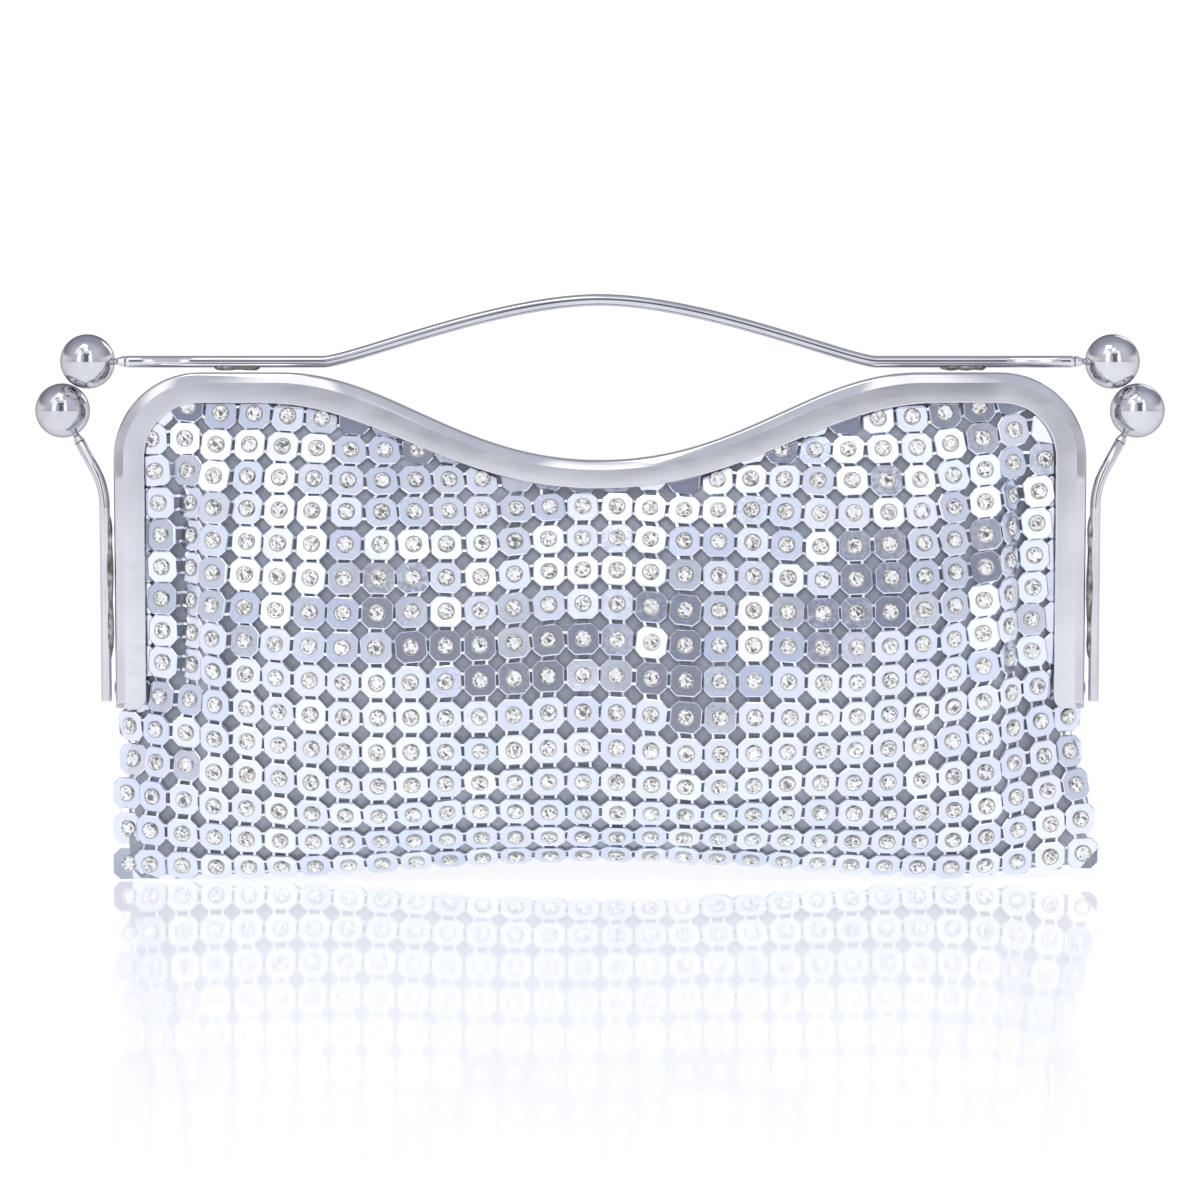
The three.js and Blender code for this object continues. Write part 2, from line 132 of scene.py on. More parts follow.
def new_group(name, inputs, outputs):
    """A node group with float or vector inputs, and its two end nodes."""
    tree = bpy.data.node_groups.new(name, "ShaderNodeTree")
    for socket, kind, value in inputs:
        made = tree.interface.new_socket(socket, in_out="INPUT", socket_type="NodeSocket" + kind)
        if kind == "Float":
            made.default_value = value
    for socket in outputs:
        tree.interface.new_socket(socket, in_out="OUTPUT", socket_type="NodeSocketFloat")
    return tree, tree.nodes.new("NodeGroupInput"), tree.nodes.new("NodeGroupOutput")


def use_group(tree, group, values=()):
    return add(tree, "ShaderNodeGroup", values, node_tree=group).outputs


def roughen(tree, shader, height, depth, strength=1.0):
    """Small relief in the surface, its depth in millimetres."""
    values = {"Height": height, "Distance": depth * MM, "Strength": strength}
    bump = add(tree, "ShaderNodeBump", values)
    tree.links.new(bump.outputs[0], shader.inputs["Normal"])


# Polish marks: broad clouding, and fine hairlines left by the buffing wheel.
polish_marks, marks_in, marks_out = new_group(
    "polish marks",
    [("Cloud Scale", "Float", 60.0), ("Line Scale", "Float", 700.0)],
    ["Cloud", "Lines"],
)
place_on_piece = add(polish_marks, "ShaderNodeTexCoord").outputs["Object"]
cloud = add(
    polish_marks,
    "ShaderNodeTexNoise",
    {"Vector": place_on_piece, "Scale": marks_in.outputs[0], "Detail": 3.0},
)
drawn_out = add(
    polish_marks, "ShaderNodeMapping", {"Vector": place_on_piece, "Scale": (0.12, 1.0, 1.0)}
)
hairlines = add(
    polish_marks,
    "ShaderNodeTexNoise",
    {"Vector": drawn_out.outputs[0], "Scale": marks_in.outputs[1], "Detail": 4.0},
)
polish_marks.links.new(cloud.outputs[0], marks_out.inputs[0])
polish_marks.links.new(hairlines.outputs[0], marks_out.inputs[1])


def nickel(name, dark, light, smooth, rough, line_depth, **values):
    """Nickel plate whose colour and roughness drift between two values, with buffing lines."""
    material, tree, shader = new_material(name, Metallic=1.0, **values)
    cloud_mark, line_mark = use_group(tree, polish_marks)
    tone = remap(tree, cloud_mark, 0.35, 0.65, 0.0, 1.0)
    colour = blend_colours(tree, tone, (*dark, 1), (*light, 1))
    tree.links.new(colour, shader.inputs["Base Color"])
    worn = math(tree, "MULTIPLY", cloud_mark, line_mark)
    haze = remap(tree, worn, 0.15, 0.4, smooth, rough)
    tree.links.new(haze, shader.inputs["Roughness"])
    roughen(tree, shader, line_mark, line_depth, 0.4)
    return material


mirror_nickel = nickel(
    "mirror nickel", (0.62, 0.62, 0.64), (0.70, 0.70, 0.71), 0.03, 0.08, 0.002,
    Specular_Tint=(0.42, 0.42, 0.46, 1),
)
satin_nickel = nickel("satin nickel", (0.78, 0.78, 0.79), (0.86, 0.86, 0.87), 0.20, 0.27, 0.002)


def deselect():
    if bpy.context.object and bpy.context.object.mode != "OBJECT":
        bpy.ops.object.mode_set(mode="OBJECT")
    bpy.ops.object.select_all(action="DESELECT")


def shaped_grid(name, columns, rows, place):
    """A grid whose points are moved to where place(column, row) says, in millimetres."""
    deselect()
    bpy.ops.mesh.primitive_grid_add(x_subdivisions=columns, y_subdivisions=rows, size=2)
    piece = bpy.context.object
    piece.name = name
    flat = np.empty(len(piece.data.vertices) * 3)
    piece.data.vertices.foreach_get("co", flat)
    flat = (flat.reshape(-1, 3) + 1) / 2
    column = np.rint(flat[:, 0] * columns).astype(int)
    row = np.rint(flat[:, 1] * rows).astype(int)
    points = place(column, row) * MM
    piece.data.vertices.foreach_set("co", points.astype(np.float32).ravel())
    piece.data.update()
    return piece


def only(piece):
    """Makes the piece the one that is selected and active."""
    deselect()
    piece.select_set(True)
    bpy.context.view_layer.objects.active = piece


def close_up(piece, gap=0.02):
    """Merges the points that meet, fills open ends and turns every face outwards."""
    only(piece)
    bpy.ops.object.mode_set(mode="EDIT")
    bpy.ops.mesh.select_all(action="SELECT")
    bpy.ops.mesh.remove_doubles(threshold=gap * MM)
    bpy.ops.mesh.fill_holes(sides=0)
    bpy.ops.mesh.select_all(action="SELECT")
    bpy.ops.mesh.normals_make_consistent(inside=False)
    bpy.ops.object.mode_set(mode="OBJECT")


def smooth(piece, degrees=30):
    only(piece)
    bpy.ops.object.transform_apply(location=True, rotation=True, scale=True)
    bpy.ops.object.shade_smooth_by_angle(angle=np.radians(degrees))


def combine(piece, tool, operation):
    """Cuts the tool out of the piece, or welds it on, and removes the tool."""
    only(piece)
    boolean = piece.modifiers.new("combine", "BOOLEAN")
    boolean.operation = operation
    boolean.object = tool
    boolean.solver = "EXACT"
    bpy.ops.object.modifier_apply(modifier=boolean.name)
    bpy.data.objects.remove(tool)


def disc(radius, x_low, x_high):
    """A flat disc on the hinge axis, between two distances across."""
    deselect()
    bpy.ops.mesh.primitive_cylinder_add(
        vertices=40,
        radius=radius * MM,
        depth=abs(x_high - x_low) * MM,
        location=((x_low + x_high) / 2 * MM, 0, hinge_z * MM),
        rotation=(0, np.pi / 2, 0),
    )
    bpy.ops.object.transform_apply(location=True, rotation=True, scale=True)
    return bpy.context.object


def block(low, high, cut=0.0):
    """A block between two corners, its edges broken by a small bevel."""
    deselect()
    low, high = np.minimum(low, high), np.maximum(low, high)
    bpy.ops.mesh.primitive_cube_add(
        size=1, location=Vector((low + high) / 2 * MM), scale=Vector((high - low) * MM)
    )
    bpy.ops.object.transform_apply(location=True, rotation=True, scale=True)
    if cut:
        bpy.ops.object.mode_set(mode="EDIT")
        bpy.ops.mesh.bevel(offset=cut * MM, segments=2)
        bpy.ops.object.mode_set(mode="OBJECT")
    return bpy.context.object


def bezier(points, count):
    t = np.linspace(0, 1, count)[:, None]
    a, b, c, d = (np.array(p, float) for p in points)
    return a * (1 - t) ** 3 + 3 * b * t * (1 - t) ** 2 + 3 * c * t**2 * (1 - t) + d * t**3


def frame_edge(half_width, top, dip, shoulder, radius, end_radius):
    """An edge of the frame seen from the front, from the left arm's end to the right arm's."""
    dip_reach, shoulder_reach = 0.45 * shoulder, 0.66 * shoulder
    controls = [(0, dip), (dip_reach, dip), (shoulder_reach, top), (shoulder, top)]
    turn = np.linspace(np.pi / 2, 0, CORNER_POINTS)
    corner = np.c_[np.cos(turn), np.sin(turn)] * radius + (half_width - radius, top - radius)
    upper_arm = np.linspace(top - radius, hinge_z + 10, 10)[1:]
    lower_arm = np.linspace(hinge_z + 10, arm_end + ARM_ROUND, 24)[1:]
    arm_z = np.r_[upper_arm, lower_arm]
    arm = np.c_[np.full(len(arm_z), half_width), arm_z]
    turn = np.linspace(0, np.pi / 2, 7)[1:]
    end_x = half_width + end_radius * (1 - np.cos(turn))
    end = np.c_[end_x, arm_end + ARM_ROUND * (1 - np.sin(turn))]
    right = np.vstack([bezier(controls, CURVE_POINTS), corner, arm, end])
    return np.vstack([right[:0:-1] * (-1, 1), right])


outer_edge = frame_edge(
    frame_half_width, frame_top, dip=101.3, shoulder=76.0, radius=20.6, end_radius=0.0
)
inner_edge = frame_edge(
    INNER_HALF_WIDTH, top=114.9, dip=94.6, shoulder=80.0, radius=13.0, end_radius=ARM_ROUND
)

# The channel's section: distance in from the outer edge, and distance from the parting plane.
# It goes from the lip round the rolled shoulder, over the slightly crowned face and back inside.
roll = np.radians(np.linspace(0, ROLL_END, 7))
roll_in = SHOULDER_RADIUS * (1 - np.cos(roll))
roll_down = SHOULDER_RADIUS * (1 - np.sin(roll))
slope_rise = (SLOPE_END - roll_in[-1]) / np.tan(np.radians(ROLL_END))
roll_top = FRAME_DEPTH - CROWN - slope_rise + roll_down[-1]
rolled_shoulder = np.c_[roll_in, roll_top - roll_down]
channel_section = np.vstack([
    [(LIP_WIDTH, PARTING + SHEET), (LIP_WIDTH, PARTING), (0, PARTING)],
    rolled_shoulder,
    [(SLOPE_END, FRAME_DEPTH - CROWN), (4.6, FRAME_DEPTH), (6.0, FRAME_DEPTH - 0.01)],
    [(7.1, FRAME_DEPTH - CROWN), (7.4, FRAME_DEPTH - 0.14), (FACE_WIDTH, FRAME_DEPTH - 0.4)],
    [(FACE_WIDTH, FRAME_DEPTH - SHEET), (SHEET, FRAME_DEPTH - SHEET), (SHEET, PARTING + SHEET)],
    [(LIP_WIDTH, PARTING + SHEET)],
])


def frame_channel(name, side):
    """One frame half, in front of the parting plane (side -1) or behind it (side 1)."""

    def place(column, row):
        inwards, depth = channel_section[column].T
        lip = (inwards == LIP_WIDTH) & (depth < 2)
        level = outer_edge[row, 1]
        inwards = np.where(lip & (level < hinge_z + LIP_STOP), SHEET, inwards)
        share = (inwards / FACE_WIDTH)[:, None]
        across = outer_edge[row] * (1 - share) + inner_edge[row] * share
        below = np.maximum(hinge_z - across[:, 1], 0)
        relief = np.where(below > 0, below * SWING_SLOPE + 2 * PARTING, 0)
        depth = np.maximum(depth, relief)
        if side > 0:
            reach = (EAR_RADIUS + EAR_CLEARANCE) ** 2 - (across[:, 1] - hinge_z) ** 2
            depth = np.maximum(depth, np.sqrt(np.maximum(reach, 0)))
        return np.c_[across[:, 0], side * depth, across[:, 1]]

    piece = shaped_grid(name, len(channel_section) - 1, len(outer_edge) - 1, place)
    close_up(piece)
    return piece


def finish_frame(piece, node, body):
    """Bright all over, with a satin face, as the buffing wheel leaves it."""
    close_up(piece, 0.005)
    smooth(piece, 17)
    piece.data.materials.clear()
    piece.data.materials.append(mirror_nickel)
    piece.data.materials.append(satin_nickel)
    for face in piece.data.polygons:
        outside = abs(face.center.y) > FACE_DEPTH * MM
        face.material_index = int(outside and abs(face.normal.y) > FACE_FLATNESS)
    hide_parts(node)
    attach(piece, body)


front_channel = frame_channel("front_frame_half", -1)
rear_channel = frame_channel("rear_frame_half", 1)
wall_in = frame_half_width - SHEET
rear_ear_out = wall_in - EAR_GAP
rear_ear_in = rear_ear_out - SHEET
tab_top = hinge_z + TAB_HEIGHT
for hand in (-1, 1):
    combine(front_channel, disc(EAR_RADIUS, hand * wall_in, hand * frame_half_width), "UNION")
    hole = disc(RIVET_HOLE, hand * (wall_in - 1), hand * (frame_half_width + 1))
    combine(front_channel, hole, "DIFFERENCE")
    # The rear ears lie inside the front ones. A joggle and a tab join each to its own arm.
    joggle = block(
        (hand * rear_ear_in, 0.6, hinge_z + LIP_STOP), (hand * (wall_in + SHEET / 2), 5.3, tab_top)
    )
    combine(rear_channel, joggle, "UNION")
    tab = block((hand * rear_ear_in, 0.6, hinge_z), (hand * rear_ear_out, 3.2, tab_top))
    combine(rear_channel, tab, "UNION")
    combine(rear_channel, disc(EAR_RADIUS, hand * rear_ear_in, hand * rear_ear_out), "UNION")
    hole = disc(RIVET_HOLE, hand * (rear_ear_in - 1), hand * (rear_ear_out + 0.2))
    combine(rear_channel, hole, "DIFFERENCE")
finish_frame(front_channel, "front_frame", "front_half")
finish_frame(rear_channel, "rear_frame", "rear_half")

# Hinge rivets: solid nickel-plated pins, one through each pair of ears. The inner end has a
# flat head, and the outer end is peened over into a low dome.
SHANK_RADIUS = 1.0
HEAD_RADIUS = 1.9
HEAD_EDGE = 0.7
HEAD_DOME = 0.3
STEP = 0.001


def reach_of(node):
    """How near to the bag's middle plane a node at one side starts, and how far out it goes."""
    low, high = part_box(node)
    return min(abs(low.x), abs(high.x)) / MM, max(abs(low.x), abs(high.x)) / MM


def edit_end(piece, direction):
    """Goes into edit mode with only the faces at the piece's end in that direction selected."""
    only(piece)
    centres = np.array([face.center for face in piece.data.polygons]) @ np.array(direction)
    limit = centres.max() - 1e-6
    bpy.ops.object.mode_set(mode="EDIT")
    bpy.ops.mesh.select_mode(type="FACE")
    bpy.ops.mesh.select_all(action="DESELECT")
    bpy.ops.object.mode_set(mode="OBJECT")
    for face, distance in zip(piece.data.polygons, centres):
        face.select = bool(distance > limit)
    bpy.ops.object.mode_set(mode="EDIT")


def draw_out(step, scale):
    """Extrudes the selected end by a step in millimetres, then scales it across."""
    move = Vector(step) * MM
    bpy.ops.mesh.extrude_region_move(TRANSFORM_OT_translate={"value": move})
    if scale != 1:
        bpy.ops.transform.resize(value=(1, scale, scale) if move.x else (scale, scale, 1))


for hand, where in ((-1, "left"), (1, "right")):
    inner, outer = reach_of("hinge_rivet_" + where)
    rivet = disc(HEAD_RADIUS, hand * inner, hand * (inner + HEAD_EDGE))
    rivet.name = "hinge_pin_" + where
    edit_end(rivet, (hand, 0, 0))
    draw_out((hand * HEAD_DOME, 0, 0), 1)
    bpy.ops.transform.resize(value=(1, 0.94, 0.94))
    draw_out((hand * STEP, 0, 0), SHANK_RADIUS / HEAD_RADIUS / 0.94)
    draw_out((hand * (outer - inner - 1.6), 0, 0), 1)
    draw_out((hand * STEP, 0, 0), HEAD_RADIUS / SHANK_RADIUS)
    for rise, narrow in ((0.22, 0.97), (0.16, 0.82), (0.13, 0.7), (0.07, 0.5)):
        draw_out((hand * rise, 0, 0), narrow)
    bpy.ops.object.mode_set(mode="OBJECT")
    close_up(rivet, 0.0005)
    smooth(rivet, 40)
    rivet.data.materials.append(mirror_nickel)
    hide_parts("hinge_rivet_" + where)
    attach(rivet, "pouch")

# Paper cords: twisted kraft paper pressed into each channel behind the cloth's edge, so that
# the cloth can't pull out. Their shape is simple, so the CAD's own solids are kept for them.
kraft_paper, tree, shader = new_material("kraft paper", Roughness=0.92)
twist_place = add(tree, "ShaderNodeTexCoord").outputs["Object"]
twist = add(
    tree,
    "ShaderNodeTexWave",
    {"Vector": twist_place, "Scale": 260.0, "Distortion": 2.5, "Detail": 3.0},
    bands_direction="DIAGONAL",
)
fibres = add(tree, "ShaderNodeTexNoise", {"Vector": twist_place, "Scale": 1400.0, "Detail": 4.0})
# Painted shade: the paper darkens in the low grooves of the twist, mixed with its fibres' real
# colour.
fold_shade = math(tree, "MULTIPLY", twist.outputs["Fac"], fibres.outputs[0])
paper_colour = banded(tree, fold_shade, [(0.0, (0.22, 0.15, 0.08)), (0.6, (0.55, 0.42, 0.26))])
tree.links.new(paper_colour, shader.inputs["Base Color"])
roughen(tree, shader, twist.outputs["Fac"], 0.2)
for cord_name in ("front_paper_cord", "rear_paper_cord"):
    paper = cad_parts[cord_name]
    paper.data.materials.clear()
    paper.data.materials.append(kraft_paper)

# Handle: one round nickel-plated wire, level over its two brazes, bowed up in the middle to
# take the fingers, its turned ends set forward so that the balls can pass each other.
HANDLE_RADIUS = 1.4
CROWN_REACH = 24
FOOT_REACH = 58
FOOT_LIFT = 0.75
BOW_END = 66
BRAZE_END = 92.5
SET_REACH = 9


def bent_wire(name, route, radius):
    """A round wire along a route in millimetres, its ends lightly chamfered."""
    line = bpy.data.curves.new(name, "CURVE")
    line.dimensions = "3D"
    line.bevel_depth = radius * MM
    line.bevel_resolution = 6
    line.use_fill_caps = True
    spline = line.splines.new("POLY")
    spline.points.add(len(route) - 1)
    for point, place in zip(spline.points, route):
        point.co = (*(np.array(place) * MM), 1)
    for point in (spline.points[0], spline.points[-1]):
        point.radius = 0.82
    piece = bpy.data.objects.new(name, line)
    bpy.context.scene.collection.objects.link(piece)
    only(piece)
    bpy.ops.object.convert(target="MESH")
    piece = bpy.context.object
    close_up(piece, 0.001)
    smooth(piece, 50)
    piece.data.materials.clear()
    piece.data.materials.append(mirror_nickel)
    return piece


def with_chamfered_ends(route, length=0.3):
    """The route with one more point close to each end, where the chamfer starts."""
    first = route[0] + (route[1] - route[0]) / np.linalg.norm(route[1] - route[0]) * length
    last = route[-1] + (route[-2] - route[-1]) / np.linalg.norm(route[-2] - route[-1]) * length
    return np.vstack([route[:1], first, route[1:-1], last, route[-1:]])


rod_low, rod_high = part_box("handle_rod")
upper_low, upper_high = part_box("upper_ball_right")
handle_tip = rod_high.x / MM
handle_z = rod_low.z / MM + HANDLE_RADIUS
handle_crown = rod_high.z / MM - HANDLE_RADIUS
handle_y = rod_high.y / MM - HANDLE_RADIUS
ball_y = (upper_low.y + upper_high.y) / 2 / MM
setback = BRAZE_END + 2
right_half = np.vstack([
    bezier(
        [(0, handle_y, handle_crown), (CROWN_REACH, handle_y, handle_crown),
         (FOOT_REACH, handle_y, handle_z + FOOT_LIFT), (BOW_END, handle_y, handle_z)], 60),
    np.linspace((BOW_END + 2, handle_y, handle_z), (setback, handle_y, handle_z), 8),
    bezier(
        [(setback, handle_y, handle_z), (setback + SET_REACH, handle_y, handle_z),
         (handle_tip - SET_REACH, ball_y, handle_z), (handle_tip, ball_y, handle_z)], 24)[1:],
])
handle_route = np.vstack([right_half[:0:-1] * (-1, 1, 1), right_half])
handle = bent_wire("handle_wire", with_chamfered_ends(handle_route), HANDLE_RADIUS)
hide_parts("handle_rod")
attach(handle, "rear_half")

# Balls: turned and plated in one piece with a short pointed neck that is pressed on the wire's
# end. The two upper ones are the handle's ends, and snap past the lower ones as the bag shuts.
BALL_RADIUS = 6.5
NECK_LENGTH = 2.5
NECK_SPREAD = 2.1
NECK_RIM = 0.25


def ball_end(name, centre, towards, node, body):
    """A ball whose neck points along a direction, from its centre, in millimetres."""
    deselect()
    bpy.ops.mesh.primitive_uv_sphere_add(segments=48, ring_count=32, radius=BALL_RADIUS * MM)
    ball = bpy.context.object
    ball.name = name
    edit_end(ball, (0, 0, 1))
    bpy.ops.transform.resize(value=(1, 1, 0))
    draw_out((0, 0, NECK_LENGTH - 0.3), NECK_SPREAD)
    draw_out((0, 0, NECK_RIM), 1)
    bpy.ops.object.mode_set(mode="OBJECT")
    ball.rotation_mode = "QUATERNION"
    ball.rotation_quaternion = Vector(towards).to_track_quat("Z", "Y")
    ball.location = Vector(centre) * MM
    smooth(ball, 24)
    close_up(ball, 0.001)
    ball.data.materials.append(mirror_nickel)
    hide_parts(node)
    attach(ball, body)


for hand, where in ((-1, "left"), (1, "right")):
    node = "upper_ball_" + where
    low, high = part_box(node)
    centre = (hand * (reach_of(node)[1] - BALL_RADIUS), ball_y, (low.z + high.z) / 2 / MM)
    ball_end("handle_ball_" + where, centre, (-hand, 0, 0), node, "rear_half")

# Brazes: small uneven fillets of dull filler metal, two under the handle, and one long seam
# along each side wire, where the torch has left it brownish.
braze_metal, tree, shader = new_material("braze", Metallic=1.0)
cloud_mark, line_mark = use_group(tree, polish_marks, {"Cloud Scale": 400.0})
braze_colour = banded(
    tree, cloud_mark,
    [(0.3, (0.07, 0.06, 0.055)), (0.5, (0.30, 0.28, 0.26)), (0.7, (0.62, 0.61, 0.60))],
)
tree.links.new(braze_colour, shader.inputs["Base Color"])
tree.links.new(remap(tree, line_mark, 0.3, 0.7, 0.28, 0.5), shader.inputs["Roughness"])
roughen(tree, shader, cloud_mark, 0.25)


def fillet(name, node, body, seed):
    """A lumpy bead of filler that fills its node's box."""
    low, high = (np.array(corner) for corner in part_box(node))
    deselect()
    bpy.ops.mesh.primitive_cube_add(size=2)
    bead = bpy.context.object
    bead.name = name
    bpy.ops.object.mode_set(mode="EDIT")
    bpy.ops.mesh.subdivide(number_cuts=9)
    bpy.ops.transform.tosphere(value=0.45)
    bpy.ops.object.mode_set(mode="OBJECT")
    points = np.array([v.co for v in bead.data.vertices])
    points /= np.abs(points).max(axis=0)
    waves = np.random.default_rng(seed).uniform(2, 5, (3, 3))
    beads = np.abs(np.sin(points[:, np.argmax(high - low)] * waves[0, 0] + seed))
    lumps = 0.50 + 0.42 * beads + 0.08 * np.sin(points @ waves).prod(axis=1)
    across = np.where(high - low < (high - low).max(), lumps[:, None], 1)
    points = points * across * (high - low) / 2 + (high + low) / 2
    bead.data.vertices.foreach_set("co", points.astype(np.float32).ravel())
    bead.data.update()
    smooth(bead, 60)
    bead.data.materials.append(braze_metal)
    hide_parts(node)
    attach(bead, body)


for number, where in enumerate(("left", "right")):
    fillet("handle_fillet_" + where, "handle_braze_" + where, "rear_half", 3 + number)
    fillet("side_fillet_" + where, "side_braze_" + where, "front_half", 7 + number)

# Side wires: straight nickel-plated wires brazed along the outside of the front half's arms,
# bent outwards above and ending in the two lower balls.
SIDE_WIRE_RADIUS = 1.25
BEND_Z = 95.0
BEND_LENGTH = 5.0
LOWER_BALL = np.array((128.6, 1.0, 113.1))
for hand, where in ((-1, "left"), (1, "right")):
    low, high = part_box("side_wire_" + where)
    wire_x = reach_of("side_wire_" + where)[0] + SIDE_WIRE_RADIUS
    wire_y = low.y / MM + SIDE_WIRE_RADIUS
    bend = np.array((hand * wire_x, wire_y, BEND_Z))
    ball = LOWER_BALL * (hand, 1, 1)
    towards = (bend - ball) / np.linalg.norm(bend - ball)
    tip = ball + towards * (BALL_RADIUS + NECK_LENGTH)
    above = bend - towards * BEND_LENGTH
    below = bend - (0, 0, BEND_LENGTH)
    end = np.array((hand * wire_x, wire_y, low.z / MM))
    turn = bezier([above, (above + 2 * bend) / 3, (below + 2 * bend) / 3, below], 14)
    side_route = np.vstack([tip, turn, np.linspace(below, end, 8)[1:]])
    side_wire = bent_wire("side_rod_" + where, with_chamfered_ends(side_route), SIDE_WIRE_RADIUS)
    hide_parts("side_wire_" + where)
    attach(side_wire, "front_half")
    ball_end("side_ball_" + where, ball, towards, "lower_ball_" + where, "front_half")

# Backing cloth: a plain-woven grey cloth, front and rear, sewn together along the bottom fold
# and the sides below the hinges, and pressed into the frame's channels above them.
FULL_DEPTH = 24.0
CHANNEL_DEPTH = 4.6
FULLEST_Z = 45.0
SKIN_EDGE = 107.1
CHANNEL_EDGE = 110.6
CLOTH_BITE = 2.6
EDGE_DROP = 1.2
ARCH_RISE = 4.6
ARCH_REACH = 0.85
CORNER_LIFT = 2.6
LEFT_HALF_WIDTH = 114.8
LEFT_PINCH = 2.3
PINCH_Z = 31.5
RIGHT_HALF_WIDTH = 113.2
RIGHT_SPREAD = 6.0
PLEAT_PLACE = 97
PLEAT_DEPTH = 2.2
TOP_RISE = 55.0
SIDE_RISE = 60.0
BACKING_INSET = 1.5
CLOTH_NAME = {-1: "front", 1: "rear"}


def fade(value, low, high):
    t = np.clip((value - low) / (high - low), 0, 1)
    return t * t * (3 - 2 * t)


def swell(t, power=1.8):
    """Rises from 0 to 1 as t does, steeply at first, and stays at 1."""
    return 1 - (1 - np.clip(t, 0, 1)) ** power


def edge_height(edge, x):
    """Height of the frame's edge above a distance from the middle."""
    half = edge[len(edge) // 2 :]
    top_part = half[: CURVE_POINTS + CORNER_POINTS]
    return np.interp(np.abs(x), top_part[:, 0], top_part[:, 1])


def fold_height(u):
    """The bottom fold arches up in the middle, and the right corner stands a little higher."""
    arch = np.cos(np.clip(u, -ARCH_REACH, ARCH_REACH) / ARCH_REACH * np.pi / 2) ** 2
    return ARCH_RISE * arch + CORNER_LIFT * fade(u, 0.7, 1)


def cloth_half_width(z, hand):
    """Half width of the pouch. It is pinched under the left arm and spreads on the right."""
    left_part = LEFT_HALF_WIDTH - LEFT_PINCH * np.exp(-(((z - PINCH_Z) / 4) ** 2))
    right_part = RIGHT_HALF_WIDTH + RIGHT_SPREAD * fade(z, 36, 17)
    low_part = np.where(hand > 0, right_part, left_part)
    return low_part + (CHANNEL_EDGE - low_part) * fade(z, 39, 47)


def skin(u, v, side, inset=0.0):
    """Points of the pouch's outer face, moved in by the inset, in millimetres.

    u goes across from -1 to 1, and v goes up from the bottom fold at 0 to the frame at 1.
    """
    fold = fold_height(u)
    top_x = u * CHANNEL_EDGE
    top = edge_height(inner_edge, np.minimum(np.abs(top_x), SKIN_EDGE)) + CLOTH_BITE
    z = fold + (top - fold) * v
    x = u * cloth_half_width(z, np.sign(u))
    reach = np.abs(x)
    # Below the hinges the two sides meet at the fold and the side seams, in the shape of a lens.
    low_depth = FULL_DEPTH * np.maximum(1 - np.abs(u) ** 2.6, 1e-4) ** 0.8
    height = FULLEST_Z - fold
    radius = (height**2 + low_depth**2) / (2 * low_depth)
    above_fold = np.maximum(FULLEST_Z - z, 0)
    lens = low_depth - radius + np.sqrt(np.maximum(radius**2 - above_fold**2, 0))
    # Above them the cloth swells out of the frame's channel on three sides.
    edge_z = edge_height(inner_edge, np.minimum(reach, SKIN_EDGE)) - EDGE_DROP
    from_top = swell((edge_z - z) / TOP_RISE)
    from_side = swell((SKIN_EDGE - reach) / SIDE_RISE, 2.0)
    high = CHANNEL_DEPTH + (FULL_DEPTH - CHANNEL_DEPTH) * from_top * from_side
    raised = fade(z, 34, 54)
    depth = lens * (1 - raised) + high * raised
    # Pleats beside the arms, where the cloth is gathered into the frame.
    hand = np.sign(u) * side
    valley = np.where(hand < 0, 101.0, 99.0)
    length = np.where(hand < 0, 15.0, 17.0)
    gathered = np.exp(-(((reach - PLEAT_PLACE) / 9) ** 2)) * fade(edge_z - z, 0, 22)
    gathered = gathered * (0.45 * fade(z, 6, 22) + 0.55 * fade(z, 40, 56))
    pleats = -PLEAT_DEPTH * np.cos(2 * np.pi * (reach - valley) / length) * gathered
    pleats = pleats * np.where(z > 45, fade(SKIN_EDGE - reach, 0, 4), fade(depth, 0, 8))
    # The loose cloth hangs in shallow waves.
    drift = 2.0 * side
    waves = 0.75 * np.sin(x / 8.1 + 0.7 + drift) * np.sin(z / 9.5 + x / 40 + drift)
    waves = waves + 0.6 * np.sin(x / 14.5 - z / 11 + 2.1 * drift)
    loose = fade(z, 6, 24) * fade(edge_z - z, 2, 20) * fade(SKIN_EDGE - reach, 2, 20)
    depth = depth + pleats + waves * loose
    return np.stack([x, side * (depth - np.minimum(inset, depth / 2)), z], axis=-1)


# Threads: a plain weave on the piece's own map, which is in metres.
weave, weave_in, weave_out = new_group(
    "plain weave", [("Map", "Vector", None), ("Pitch", "Float", 0.0003)], ["Height", "Unevenness"]
)
map_axes = add(weave, "ShaderNodeSeparateXYZ", [weave_in.outputs["Map"]])
warp = math(weave, "DIVIDE", map_axes.outputs[0], weave_in.outputs["Pitch"])
weft = math(weave, "DIVIDE", map_axes.outputs[1], weave_in.outputs["Pitch"])
over = math(weave, "ADD", math(weave, "FLOOR", warp), math(weave, "FLOOR", weft))
over = math(weave, "PINGPONG", over, 1.0)
warp_round = math(weave, "ABSOLUTE", math(weave, "SINE", math(weave, "MULTIPLY", warp, np.pi)))
weft_round = math(weave, "ABSOLUTE", math(weave, "SINE", math(weave, "MULTIPLY", weft, np.pi)))
warp_part = math(weave, "MULTIPLY", warp_round, over)
weft_part = math(weave, "MULTIPLY", weft_round, math(weave, "SUBTRACT", 1.0, over))
weave.links.new(math(weave, "ADD", warp_part, weft_part), weave_out.inputs["Height"])
slub = add(weave, "ShaderNodeTexNoise", {"Vector": weave_in.outputs["Map"], "Scale": 900.0})
weave.links.new(slub.outputs[0], weave_out.inputs["Unevenness"])


